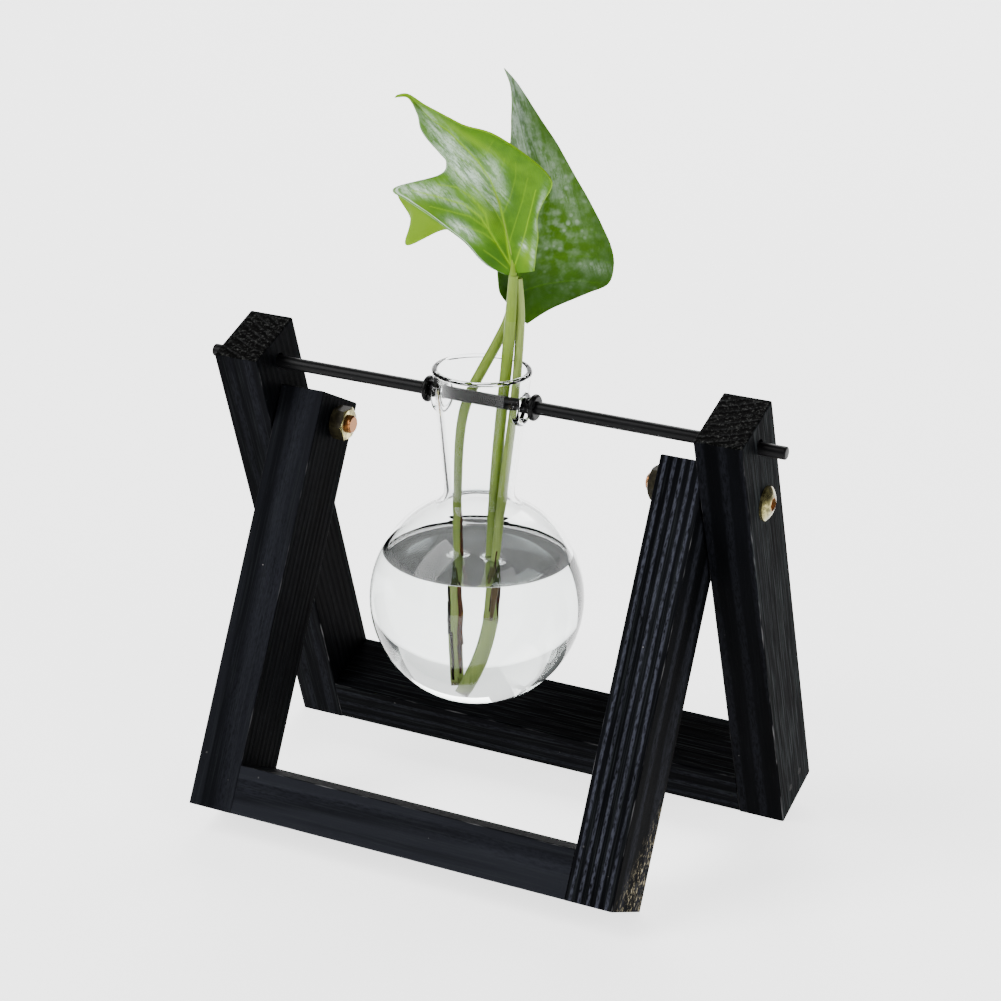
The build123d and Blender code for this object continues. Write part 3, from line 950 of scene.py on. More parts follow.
def turn_on_hole(name, shape, side, outline):
    """A piece turned on the axis of the rod holes, on one side of the vase."""
    centre = vase_seat - UP * shape.hole_drop
    return lathe(name, sideways(side, outline, shape.hole_drop), centre, ALONG_ROD, COLLAR_STEPS)


def rim_collar(shape, side):
    """The rim round a rod hole, still solid, trimmed where it would stand out inside the neck."""
    rounded = RIM_ROUND_SHARE * shape.rim_width / 2
    outside = shape.hole_radius + shape.rim_width
    start = shape.rim_reach - COLLAR_LENGTH
    outline = [Vector((start, 0)), Vector((start, outside))]
    outline += arc_points((shape.rim_reach - rounded, outside - rounded), rounded, 90, 0, CORNER_STEPS)
    outline.append(Vector((shape.rim_reach, 0)))
    collar = turn_on_hole("collar", shape, side, outline)
    inside = wall_outline(shape, shape.wall * TRIM_SHARE, mouth_rise + MM)
    inside.append(Vector((0, mouth_rise + MM)))
    apply_boolean(collar, lathe("void", upright(inside), vase_seat, UP, TURNED_STEPS), "DIFFERENCE")
    return collar


def hole_cutter(shape, side):
    """The rod hole's cutter, which leaves the hole's outer edge rounded."""
    rounded = RIM_ROUND_SHARE * shape.rim_width / 2
    outline = [Vector((CUTTER_START, 0)), Vector((CUTTER_START, shape.hole_radius))]
    corner = (shape.rim_reach - rounded, shape.hole_radius + rounded)
    outline += arc_points(corner, rounded, 270, 360, CORNER_STEPS)
    outline.append(Vector((shape.rim_reach + MM, shape.hole_radius + rounded)))
    outline.append(Vector((shape.rim_reach + MM, 0)))
    return turn_on_hole("cutter", shape, side, outline)


class BlowGlass(bpy.types.Operator):
    """Blows the glass: bulb, flared neck, rolled lip and two rimmed holes for the rod"""

    bl_idname = "vase.blow_glass"
    bl_label = "Blow the glass"

    def execute(self, context):
        shape = context.scene.vase_settings
        lip = Vector((shape.mouth_radius - shape.lip_radius, mouth_rise - shape.lip_radius))
        wall_top = lip.y - LIP_OVERLAP * shape.lip_radius
        outline = wall_outline(shape, 0, wall_top)
        outline += arc_points(lip, shape.lip_radius, -20, 200, LIP_STEPS)
        outline += wall_outline(shape, shape.wall, wall_top)[::-1]
        glass = lathe("glass_vase_blown", upright(outline), vase_seat, UP, TURNED_STEPS)
        for side in (-1, 1):
            apply_boolean(glass, rim_collar(shape, side), "UNION")
            apply_boolean(glass, hole_cutter(shape, side), "DIFFERENCE")
        smooth(glass, 40)
        finish_piece(glass, clear_glass("clear_glass"), "vase", "clear_glass", "glass_vase")
        return {"FINISHED"}


# The water reaches this far into the wall, so that no air shows between them
WATER_OVERLAP = 0.25 * MM
SURFACE_RINGS = 44
# The surface's rings lie closer together near the glass by this power
RING_CROWDING = 1.25
EDGE_CLIMB_WIDTH = 0.9 * MM
# Height and width of the water's climb at a stem, and how near to the level a point counts as surface
STEM_CLIMB = 0.8 * MM
SURFACE_BAND = 0.4 * MM


class FillWater(bpy.types.Operator):
    """Fills the bulb: the water wets the wall, and climbs a little at the glass and round the stems"""

    bl_idname = "vase.fill_water"
    bl_label = "Fill with water"

    def execute(self, context):
        shape = context.scene.vase_settings
        level = -shape.water_drop
        wet_radius = bulb_radius - (shape.wall - WATER_OVERLAP)
        edge_angle = math.degrees(math.asin((level + shape.meniscus + bulb_drop) / wet_radius))
        outline = arc_points((0, -bulb_drop), wet_radius, -90, edge_angle, BULB_STEPS)
        edge = outline[-1].x
        for ring in range(1, SURFACE_RINGS + 1):
            radius = edge * (1 - (ring / SURFACE_RINGS) ** RING_CROWDING)
            climb = shape.meniscus * math.exp(-(edge - radius) / EDGE_CLIMB_WIDTH)
            outline.append(Vector((radius, level + climb)))
        pool = lathe("water_pool", upright(outline), vase_seat, UP, TURNED_STEPS)
        surface = vase_seat.z + level
        for name in STEM_SHARES:
            centre = stem_at_height(name, surface)
            for vertex in pool.data.vertices:
                if abs(vertex.co.z - surface) < SURFACE_BAND:
                    gap = max((vertex.co.xy - centre.xy).length - stem_radius(name), 0)
                    vertex.co.z += STEM_CLIMB * math.exp(-gap / STEM_CLIMB)
        smooth(pool, 60)
        finish_piece(pool, still_water("still_water", edge), "vase", "clear_glass")
        return {"FINISHED"}


# Stems, each a row of points: height above the rod as a share of the reach into the bulb, side and set-back
# as shares of the neck's radius, and thickness as a share of the stem's own radius

STEM_SHARES = {
    "left": (
        (-0.90, -0.28, 0.60, 0.90),
        (-0.80, -0.40, 0.52, 1.0),
        (-0.71, -0.45, 0.44, 1.0),
        (-0.53, -0.58, 0.19, 0.92),
        (-0.33, -0.74, 0.05, 0.86),
        (-0.13, -0.81, 0, 0.95),
        (-0.02, -0.65, 0, 1.0),
        (0.08, -0.21, 0, 1.0),
        (0.17, 0.14, 0.15, 1.0),
        (0.25, 0.40, 0.30, 0.95),
        (0.33, 0.42, 0.40, 0.80),
    ),
    "middle": (
        (-0.92, -0.06, 0.34, 1.05),
        (-0.865, 0.16, 0.45, 1.12),
        (-0.80, 0.34, 0.50, 1.14),
        (-0.735, 0.42, 0.53, 1.12),
        (-0.722, 0.42, 0.53, 1.20),
        (-0.709, 0.42, 0.53, 1.08),
        (-0.63, 0.42, 0.52, 1.10),
        (-0.52, 0.38, 0.49, 1.10),
        (-0.31, 0.36, 0.37, 1.12),
        (-0.14, 0.41, 0.24, 1.10),
        (0, 0.48, 0.12, 1.08),
        (0.12, 0.55, 0, 1.10),
        (0.25, 0.61, -0.13, 1.12),
        (0.395, 0.62, -0.24, 0.90),
    ),
    "right": (
        (-0.72, 0.58, 0.26, 0.30),
        (-0.64, 0.63, 0.27, 0.72),
        (-0.54, 0.66, 0.26, 1.10),
        (-0.31, 0.70, 0.20, 1.18),
        (-0.14, 0.80, 0.18, 1.15),
        (0, 0.86, 0.20, 1.05),
        (0.24, 0.82, 0.17, 1.15),
        (0.33, 0.78, 0.06, 0.95),
        (0.385, 0.74, -0.06, 0.80),
    ),
}
# Row of the middle stem where its node stands out
NODE_ROW = 4
# Share of the reach, down from the rod, where a stem's foot turns brown
BROWN_FOOT_SHARES = {"left": 0.886, "middle": 0.912, "right": 0.575}
# Roots and scars: stem, share of its height at both ends, direction from the stem's middle line in degrees
# from +X towards the back, start and end radius in millimetres, share of the root's brown
ROOTS = (
    ("left", -0.40, -0.545, -15, 0.30, 0.62, 1.0),
    ("left", -0.63, -0.80, -20, 0.55, 0.80, 1.0),
    ("left", -0.80, -0.87, -30, 0.70, 0.30, 0.8),
    ("left", -0.655, -0.775, -120, 0.38, 0.45, 0.15),
    ("left", -0.77, -0.885, -98, 0.42, 0.28, 0.25),
    ("left", -0.70, -0.76, 200, 0.28, 0.12, 0.5),
    ("middle", -0.50, -0.56, -40, 0.22, 0.35, 1.0),
    ("middle", -0.60, -0.735, -6, 0.85, 0.30, 0.8),
    ("right", -0.50, -0.58, -60, 0.25, 0.40, 1.0),
    ("right", -0.61, -0.70, 150, 0.35, 0.20, 0.6),
)
ROOT_STEPS = 6
# How far a root wanders round its stem, in degrees, and how far out its middle line lies, as a share of the
# stem's radius that changes a little along the root
ROOT_WANDER = 14
ROOT_SEAT = 0.98
ROOT_SEAT_CHANGE = 0.12
STEM_ROD_GAP = 0.4 * MM
STEM_REACH_SHARE = 0.982
# Height above the water where the middle and right stems are all green, and depth where all three are pale
GREEN_RISE = 25 * MM
PALE_DROP = 12 * MM
# The left stem turns all green this far below the rod
LEFT_GREEN_DROP = 25 * MM


def stem_reach():
    """How far the stems could reach down from the rod's axis."""
    return STEM_REACH_SHARE * (vase_seat.z - vase_low.z - bpy.context.scene.vase_settings.wall)


def stem_radius(name):
    """Radius of a stem."""
    cutting = bpy.context.scene.cutting_settings
    return cutting.thin_radius if name == "right" else cutting.thick_radius


def stem_point(name, row):
    """Place of a stem's point, and the stem's radius there."""
    neck_radius = bpy.context.scene.vase_settings.neck_radius
    lean = bpy.context.scene.cutting_settings.stem_lean
    radius = stem_radius(name)
    height_share, side_share, back_share, radius_share = row
    height = height_share * stem_reach()
    back = height * math.tan(lean) + rod_radius + STEM_ROD_GAP + radius + back_share * neck_radius
    return vase_seat + Vector((side_share * neck_radius, back, height)), radius * radius_share


def stem_at_height(name, height):
    """Point on a stem's middle line at a height."""
    points = [stem_point(name, row)[0] for row in STEM_SHARES[name]]
    for before, after in zip(points, points[1:]):
        if before.z <= height <= after.z:
            return before.lerp(after, (height - before.z) / (after.z - before.z))
    raise ValueError(f"stem {name} doesn't reach {height}")


def stem_node_height():
    """Height of the node ring on the middle stem."""
    return stem_point("middle", STEM_SHARES["middle"][NODE_ROW])[0].z


def tube(name, points, radii):
    """A round tube along a smooth curve, closed at both ends."""
    deselect()
    bpy.ops.curve.primitive_nurbs_path_add(location=(0, 0, 0))
    route = bpy.context.object
    route.name = name
    spline = route.data.splines[0]
    if len(points) < len(spline.points):
        raise ValueError(f"{name} needs at least {len(spline.points)} points")
    spline.points.add(len(points) - len(spline.points))
    for knot, point, radius in zip(spline.points, points, radii):
        knot.co = (*point, 1)
        knot.radius = radius / MM
    spline.order_u = 3
    spline.use_endpoint_u = True
    route.data.resolution_u = 16
    route.data.bevel_depth = MM
    route.data.bevel_resolution = 8
    route.data.use_fill_caps = True
    bpy.ops.object.convert(target="MESH")
    piece = bpy.context.object
    piece.data.name = name
    return piece


class GrowStems(bpy.types.Operator):
    """Grows the three stems, and the short brown roots and scars on them"""

    bl_idname = "vase.grow_stems"
    bl_label = "Grow the stems"

    def execute(self, context):
        cutting = context.scene.cutting_settings
        green, pale = Vector(cutting.stem_green), Vector(cutting.stem_pale)
        water_level = vase_seat.z - context.scene.vase_settings.water_drop
        all_pale, all_green = water_level - PALE_DROP, water_level + GREEN_RISE
        reach = stem_reach()
        # Stem, its green, its foot's pale green and the height at which it is all green
        looks = (
            ("left", green * 0.92, pale * 0.9, vase_seat.z - LEFT_GREEN_DROP),
            ("middle", green, pale, all_green),
            ("right", green.lerp(pale, 0.6), pale * 1.1, all_green),
        )
        for name, bright, light, top in looks:
            placed = [stem_point(name, row) for row in STEM_SHARES[name]]
            stem = tube(f"stem_{name}_grown", [p for p, _ in placed], [r for _, r in placed])
            smooth(stem, 50)
            brown_below = vase_seat.z - BROWN_FOOT_SHARES[name] * reach
            skin = stem_skin(
                f"stem_skin_{name}",
                bright,
                pale=light,
                shade=green * 0.5,
                low=all_pale,
                high=top,
                brown_below=brown_below,
                ringed=name == "middle",
            )
            finish_piece(stem, skin, "cutting", "green_stem", f"stem_{name}")
        for number, (name, first, last, degrees, thick, thin, brown) in enumerate(ROOTS):
            points, radii = [], []
            for step in range(ROOT_STEPS + 1):
                height = vase_seat.z + (first + (last - first) * step / ROOT_STEPS) * reach
                wander = ROOT_WANDER * noise.noise(Vector((number * 3.1, step * 0.9, 0)))
                change = ROOT_SEAT_CHANGE * noise.noise(Vector((step * 0.8, number * 2.3, 5)))
                outward = on_circle(math.radians(degrees + wander)).to_3d()
                away = outward * (stem_radius(name) * (ROOT_SEAT + change))
                points.append(stem_at_height(name, height) + away)
                radii.append((thick + (thin - thick) * step / ROOT_STEPS) * MM)
            root = tube(f"root_{number + 1}", points, radii)
            smooth(root, 60)
            finish_piece(root, root_skin(f"root_skin_{number + 1}", brown), "cutting", "green_stem")
        return {"FINISHED"}


# Leaves: rows from base to tip, of knots from edge to edge, each with its pixel of the photograph and its
# lift towards the camera in millimetres

FRONT_LEAF_ROWS = (
    (
        (505, 274, 0), (505, 274, 0), (508, 274.5, 0), (511, 274.5, 0),
        (515, 273, -0.3), (521, 272.5, 0.2), (528, 272, 0.8), (534, 271, 1.2),
    ),
    (
        (491, 267, 1.2), (491, 267, 1.2), (497, 265, 0.9), (504, 263, 0.2),
        (513, 260, -1.0), (521, 257, -0.5), (529, 255, 0.6), (536, 253, 1.8),
    ),
    (
        (480, 258, 1.8), (480, 258, 1.8), (487, 252, 1.2), (497, 248, 0.0),
        (510, 246, -1.6), (520, 241, -1.0), (530, 238, 0.6), (538, 237, 2.4),
    ),
    (
        (466, 242.5, 1.6), (466, 242, 1.8), (478, 240, 1.2), (490, 236, 0.2),
        (507, 232, -2.2), (519, 226, -1.6), (530, 222, 0.4), (537, 219, 2.8),
    ),
    (
        (446, 229, 0.5), (447, 227, 1.8), (466, 224, 1.4), (488, 221, 0.6),
        (503, 217, -2.6), (518, 211, -1.8), (532, 207, 0.2), (542, 204, 2.4),
    ),
    (
        (407, 245, -1.6), (428, 213, 2.2), (452, 211, 1.6), (483, 207, 0.8),
        (499, 203, -2.8), (517, 196, -2.0), (535, 190, 0.0), (552, 186, 2.0),
    ),
    (
        (411, 219, -0.8), (409, 200, 2.6), (440, 197, 2.0), (475, 192, 0.8),
        (493, 187, -2.8), (511, 178, -1.8), (530, 171, 0.2), (548, 175, 2.0),
    ),
    (
        (399, 190, 2.4), (397, 188, 2.8), (430, 183, 2.2), (462, 178, 0.8),
        (484, 171, -2.7), (500, 162, -1.6), (518, 155, 0.4), (537, 164, 2.0),
    ),
    (
        (440, 175.5, 1.0), (440, 175, 1.2), (451, 171, 0.6), (463, 165, -0.6),
        (473, 157, -2.5), (488, 148, -1.4), (502, 142, 0.4), (516, 148, 1.9),
    ),
    (
        (447, 163, 0.6), (447, 162, 0.8), (452, 158, 0.0), (457, 153, -1.0),
        (464, 147, -2.3), (474, 139, -1.2), (484, 134, 0.4), (491, 133, 1.8),
    ),
    (
        (439, 152, 0.6), (439, 151, 0.8), (443, 147, 0.0), (447, 142, -1.0),
        (451, 136, -2.0), (456, 131, -1.0), (461, 127, 0.4), (466, 126, 1.6),
    ),
    (
        (428, 139.5, 0.6), (428, 139, 0.8), (431, 135, 0.0), (435, 130, -0.9),
        (439, 126, -1.8), (443, 121, -0.9), (448, 118, 0.4), (452, 119.5, 1.4),
    ),
    (
        (421, 128.5, 0.6), (421, 128, 0.8), (423, 124.5, 0.1), (425, 121, -0.7),
        (428, 117, -1.4), (430, 113.5, -0.7), (433, 111, 0.4), (437, 111.5, 1.2),
    ),
    (
        (417.5, 114, 0.4), (417.5, 113, 0.5), (418, 111, 0.1), (418.5, 109, -0.4),
        (419, 106.5, -0.9), (419.5, 105, -0.4), (421, 103.5, 0.3), (424, 104.5, 0.9),
    ),
    (
        (408, 97.5, 0.2), (408, 97.5, 0.2), (408, 97, 0.1), (408, 96.5, -0.1),
        (408, 95.7, -0.3), (408, 95.2, -0.1), (408, 94.8, 0.2), (408, 94.3, 0.4),
    ),
    (
        (395, 97.2, 0.0), (395, 97.2, 0.0), (395, 97, 0.0), (395.2, 96.6, 0.0),
        (395.5, 96.2, 0.0), (396, 95.6, 0.0), (396.5, 95.2, 0.0), (397, 94.8, 0.0),
    ),
)
REAR_LEAF_ROWS = (
    ((507, 303, 0.4), (510, 304, 0.2), (515, 310, 0.0), (521, 318, 0.2), (527, 324, 0.8)),
    ((500, 293, 0.8), (507, 293, 0.2), (516, 296, -0.6), (532, 305, 0.4), (551, 309, 1.6)),
    ((498, 280, 1.0), (506, 280, 0.2), (517, 283, -1.0), (547, 291, 0.4), (586, 294, 1.8)),
    ((497, 265, 1.2), (507, 265, 0.2), (520, 267, -1.6), (562, 276, 0.2), (608, 284, 1.6)),
    ((496, 248, 1.4), (509, 248, 0.2), (525, 249, -2.2), (568, 258, 0.0), (614, 265, 1.4)),
    ((497, 228, 1.6), (512, 228, 0.2), (530, 229, -2.6), (568, 238, -0.2), (611, 246, 1.4)),
    ((499, 204, 1.8), (515, 204, 0.2), (533, 205, -2.8), (565, 213, -0.2), (601, 223, 1.4)),
    ((503, 180, 1.8), (518, 180, 0.2), (533, 182, -2.8), (558, 189, -0.2), (588, 198, 1.2)),
    ((508, 158, 1.6), (518, 157, 0.2), (529, 158, -2.5), (549, 164, -0.2), (572, 170, 1.1)),
    ((511, 138, 1.2), (517, 137, 0.2), (524, 137, -2.0), (539, 141, -0.2), (557, 143, 0.9)),
    ((511.5, 118, 0.9), (515, 117, 0.1), (519, 116, -1.4), (529, 118, -0.1), (541, 119, 0.7)),
    ((512, 99, 0.6), (513.5, 98, 0.1), (516, 97, -0.8), (521, 98, 0.0), (527, 97, 0.5)),
    ((510, 83, 0.3), (511, 82.5, 0.0), (512, 82, -0.3), (514, 82, 0.0), (516.5, 81.5, 0.2)),
    ((504, 68, 0.0), (504.3, 68.2, 0.0), (504.6, 68.4, 0.0), (504.9, 68.6, 0.0), (505.2, 68.8, 0.0)),
)


# Veins, each a line of the photograph's pixels, with its half width at the start and at the end in pixels
# and its strength
FRONT_VEINS = (
    (
        (
            (513, 273), (508, 250), (505, 226), (499, 201), (490, 179),
            (478, 161), (464, 146), (449, 131), (433, 120),
        ),
        1.5, 0.8, 0.9,
    ),
    (((433, 120), (420, 108), (407, 97)), 0.8, 0.5, 0.8),
    (((514, 268), (521, 248), (526, 231), (532, 207), (536, 190)), 1.0, 0.6, 0.75),
    (((508, 247), (516, 222), (523, 200), (528, 178)), 0.7, 0.5, 0.35),
    (((503, 215), (511, 196), (516, 177), (516, 162)), 0.7, 0.5, 0.30),
    (((493, 184), (501, 172), (505, 158)), 0.6, 0.5, 0.30),
    (((478, 160), (487, 152), (493, 141)), 0.6, 0.5, 0.30),
    (((511, 266), (499, 247), (489, 230), (480, 216), (464, 204), (440, 197), (412, 190)), 1.2, 0.7, 0.85),
    (((490, 232), (485, 213), (473, 198), (457, 187), (437, 184)), 1.0, 0.6, 0.65),
    (((487, 228), (470, 216), (450, 211), (430, 206)), 0.8, 0.5, 0.5),
    (((496, 243), (484, 233), (468, 227), (458, 226)), 0.8, 0.5, 0.45),
    (((505, 228), (492, 206), (476, 189), (459, 174), (450, 165)), 0.7, 0.5, 0.5),
    (((499, 200), (483, 180), (466, 163), (453, 151)), 0.7, 0.5, 0.45),
    (((489, 178), (474, 163), (458, 149), (444, 139)), 0.7, 0.5, 0.4),
    (((468, 151), (452, 138), (437, 127), (427, 120)), 0.6, 0.4, 0.4),
    (((484, 250), (495, 258), (507, 268)), 0.7, 0.8, 0.4),
)
REAR_VEINS = (
    (
        (
            (516, 303), (519, 268), (526, 240), (533, 205), (532, 180),
            (528, 157), (523, 136), (518, 115), (510, 88),
        ),
        1.2, 0.5, 0.55,
    ),
    (((519, 292), (545, 284), (575, 280), (600, 284)), 0.8, 0.5, 0.30),
    (((521, 268), (552, 257), (588, 256), (610, 263)), 0.8, 0.5, 0.28),
    (((527, 241), (558, 229), (588, 229), (608, 238)), 0.8, 0.5, 0.26),
    (((533, 208), (560, 199), (584, 203), (598, 212)), 0.8, 0.5, 0.24),
    (((532, 182), (552, 176), (574, 184)), 0.7, 0.5, 0.24),
    (((528, 158), (545, 156), (561, 162)), 0.7, 0.5, 0.24),
    (((523, 136), (536, 137), (548, 143)), 0.6, 0.4, 0.2),
)
# Patches of the blade: middle in pixels, half lengths in pixels, direction of the first in degrees, strength
# Sheen patches are painted sheen, the light that the waxy blades would reflect
FRONT_SHEEN = (
    (468, 172, 26, 12, 43, 1.0),
    (450, 148, 18, 10, 48, 0.85),
    (433, 124, 20, 7, 48, 0.60),
    (492, 201, 10, 5, 60, 0.55),
    (462, 229, 15, 5, 36, 0.90),
    (420, 190, 24, 7, 2, 0.75),
    (450, 200, 22, 5, 24, 0.40),
    (493, 170, 14, 8, 62, 0.55),
    (503, 192, 10, 5, 70, 0.35),
    (524, 246, 5.5, 3.5, 90, 0.95),
    (540.5, 214, 19, 3.2, 100, 0.80),
    (533, 255, 12, 2.5, 95, 0.5),
)
# Young green patches, partly painted backlight along the rolled upper edge
FRONT_YOUNG_AND_BACKLIT = (
    (528, 256, 14, 7, 90, 0.60),
    (528, 190, 30, 12, 85, 0.10),
    (470, 138, 50, 4, 32, 0.45),
    (404, 97, 14, 6, 20, 0.9),
    (414, 230, 22, 15, 100, 1.0),
    (487, 214, 26, 7, 52, 0.35),
)
FRONT_DARK = (
    (494, 260, 17, 11, 38, 0.95),
    (513, 196, 26, 7, 78, 0.55),
    (476, 150, 16, 5, 45, 0.35),
    (447, 218, 30, 6, 10, 0.35),
    (437, 205, 20, 4, 15, 0.35),
)
# Painted sheen of the rear leaf
REAR_SHEEN = (
    (513, 95, 42, 10, 80, 0.95),
    (513, 145, 50, 13, 82, 0.90),
    (522, 190, 44, 10, 80, 0.50),
    (548, 165, 50, 10, 60, 0.40),
    (597, 268, 16, 6, 10, 0.30),
)
REAR_YOUNG = (
    (552, 215, 62, 34, 70, 1.0),
    (535, 155, 44, 20, 65, 0.9),
)
REAR_DARK = (
    (560, 287, 60, 24, -14, 1.0),
    (505, 285, 26, 12, 80, 0.8),
    (600, 232, 46, 9, 74, 0.5),
)
# Each leaf: its rows, where its columns lie in u, a point of its plane in millimetres from the rod's axis,
# the direction that the plane faces, its grid, its veins, its patches of painted sheen, young green with
# painted backlight and deep green, the column of its midrib, and whether its first column is folded under
FRONT_LEAF = {
    "rows": FRONT_LEAF_ROWS,
    "columns_uv": (0.0, 0.052, 0.06, 0.19, 0.32, 0.5, 0.66, 0.83, 1.0),
    "seat": (5.0, 7.2, 40.0),
    "facing": (0.100, -0.974, -0.203),
    "grid": (136, 196),
    "veins": FRONT_VEINS,
    "patches": (FRONT_SHEEN, FRONT_YOUNG_AND_BACKLIT, FRONT_DARK),
    "midrib_column": 4,
    "folded": True,
}
REAR_LEAF = {
    "rows": REAR_LEAF_ROWS,
    "columns_uv": (0.0, 0.25, 0.5, 0.75, 1.0),
    "seat": (3.6, 14.7, 30.3),
    "facing": (0.701, -0.705, 0.110),
    "grid": (84, 168),
    "veins": REAR_VEINS,
    "patches": (REAR_SHEEN, REAR_YOUNG, REAR_DARK),
    "midrib_column": 2,
    "folded": False,
}
# A fold turns sharply this share of the way from the second column to the first
FOLD_SHARE = 0.07
# Height in millimetres and length in pixels of a blade's soft ripples, and depth of its veins in millimetres
RIPPLE_HEIGHT = 0.45
RIPPLE_LENGTH = 14
VEIN_DEPTH = 0.28
# A midrib runs through this many rows, lies this far below the blade in millimetres and thins towards its tip
MIDRIB_ROWS = 9
MIDRIB_DEPTH = 0.25
MIDRIB_TAPER = 0.32 * MM
MIDRIB_TIP = 0.12 * MM
# Thickness of a petiole's end as a share of its stem's there
PETIOLE_SHARE = 0.97


def between(before, first, second, after, share):
    """Point on a smooth curve through first and second."""
    square = share * share
    cube = square * share
    return 0.5 * (
        2 * first
        + (second - before) * share
        + (2 * before - 5 * first + 4 * second - after) * square
        + (3 * first - before - 3 * second + after) * cube
    )


def along_curve(points, share):
    """Point at a share of the way through a row of points, on a smooth curve through them."""
    place = share * (len(points) - 1)
    index = min(int(place), len(points) - 2)
    before = points[max(index - 1, 0)]
    after = points[min(index + 2, len(points) - 1)]
    return between(before, points[index], points[index + 1], after, place - index)


def vein_strength(spot, veins):
    """How strongly a spot of the blade belongs to a vein, from 0 to 1."""
    strongest = 0.0
    for line, first_width, last_width, strength in veins:
        pieces = len(line) - 1
        reach = max(first_width, last_width) * 3
        for index, (start, end) in enumerate(zip(line, line[1:])):
            if not min(start[0], end[0]) - reach < spot.x < max(start[0], end[0]) + reach:
                continue
            if not min(start[1], end[1]) - reach < spot.y < max(start[1], end[1]) + reach:
                continue
            run = Vector(end) - Vector(start)
            share = min(max((spot - Vector(start)).dot(run) / run.length_squared, 0), 1)
            gap = (spot - Vector(start) - share * run).length
            width = first_width + (last_width - first_width) * (index + share) / pieces
            strongest = max(strongest, strength * math.exp(-((gap / width) ** 2)))
    return strongest


def patch_strength(spot, patches):
    """How strongly a spot of the blade lies in soft-edged patches, from 0 to 1."""
    rest = 1.0
    for x, y, long, short, degrees, strength in patches:
        away = spot - Vector((x, y))
        if abs(away.x) > 2 * long and abs(away.y) > 2 * long:
            continue
        turn = math.radians(degrees)
        ahead = (away.x * math.cos(turn) + away.y * math.sin(turn)) / long
        aside = (away.y * math.cos(turn) - away.x * math.sin(turn)) / short
        rest *= 1 - strength * math.exp(-(ahead * ahead + aside * aside))
    return 1 - rest


def leaf_plane(plan):
    """A point of a leaf's plane, and the direction that the plane faces."""
    seat = Vector(plan["seat"]) * MM + Vector((0, rod_middle.y, rod_middle.z))
    return seat, Vector(plan["facing"])


def leaf(name, node, plan, material):
    """A leaf blade: a grid laid on a smooth net through the plan's rows, sunk along its veins, painted with
    its tone map and given its thickness."""
    net = [[Vector(knot) for knot in row] for row in plan["rows"]]
    if plan["folded"]:
        net = [[row[0], row[1].lerp(row[0], FOLD_SHARE), *row[1:]] for row in net]
    seat, facing = leaf_plane(plan)
    wide, long = plan["grid"]
    deselect()
    bpy.ops.mesh.primitive_grid_add(
        x_subdivisions=wide, y_subdivisions=long, size=2, calc_uvs=True, location=(0, 0, 0)
    )
    blade = bpy.context.object
    blade.name = name
    blade.data.attributes.new("sheet", "FLOAT_VECTOR", "POINT")
    blade.data.attributes.new("tone", "FLOAT_COLOR", "POINT")
    sheet, tone = blade.data.attributes["sheet"], blade.data.attributes["tone"]
    for index, vertex in enumerate(blade.data.vertices):
        side_share = min(max((vertex.co.x + 1) / 2, 0), 1)
        along_share = min(max((vertex.co.y + 1) / 2, 0), 1)
        columns = [along_curve(column, along_share) for column in zip(*net)]
        knot = along_curve(columns, side_share)
        spot = knot.xy
        vein = vein_strength(spot, plan["veins"])
        ripple = noise.noise(Vector((spot.x / RIPPLE_LENGTH, spot.y / RIPPLE_LENGTH, 1.7))) * RIPPLE_HEIGHT
        lift = (knot.z + ripple - VEIN_DEPTH * vein) * MM
        vertex.co = pixel_on_plane(spot.x, spot.y, seat, facing, lift)
        sheet.data[index].vector = (spot.x / 100, spot.y / 100, 0)
        tone.data[index].color = (vein, *[patch_strength(spot, kind) for kind in plan["patches"]])
    columns_uv = plan["columns_uv"]
    for corner in blade.data.uv_layers.active.data:
        place = corner.uv.x * (len(columns_uv) - 1)
        index = min(int(place), len(columns_uv) - 2)
        low, high = columns_uv[index], columns_uv[index + 1]
        corner.uv.x = low + (high - low) * (place - index)
    choose(blade)
    wall = blade.modifiers.new("wall", "SOLIDIFY")
    wall.thickness = bpy.context.scene.cutting_settings.blade
    wall.offset = 0
    bpy.ops.object.modifier_apply(modifier=wall.name)
    smooth(blade, 60)
    finish_piece(blade, material, "cutting", "green_leaf", node)


def midrib(name, stem, plan, material):
    """The petiole's end and the midrib: a tapered tube from a stem's top along the middle of a blade."""
    seat, facing = leaf_plane(plan)
    placed = [stem_point(stem, row) for row in STEM_SHARES[stem][-2:]]
    points, radii = [point for point, _ in placed], [radius * PETIOLE_SHARE for _, radius in placed]
    for index in range(1, MIDRIB_ROWS):
        x, y, lift = plan["rows"][index][plan["midrib_column"]]
        points.append(pixel_on_plane(x, y, seat, facing, (lift - MIDRIB_DEPTH) * MM))
        radii.append(MIDRIB_TAPER * (1 - index / MIDRIB_ROWS) + MIDRIB_TIP)
    rib = tube(name, points, radii)
    smooth(rib, 60)
    finish_piece(rib, material, "cutting", "green_stem")


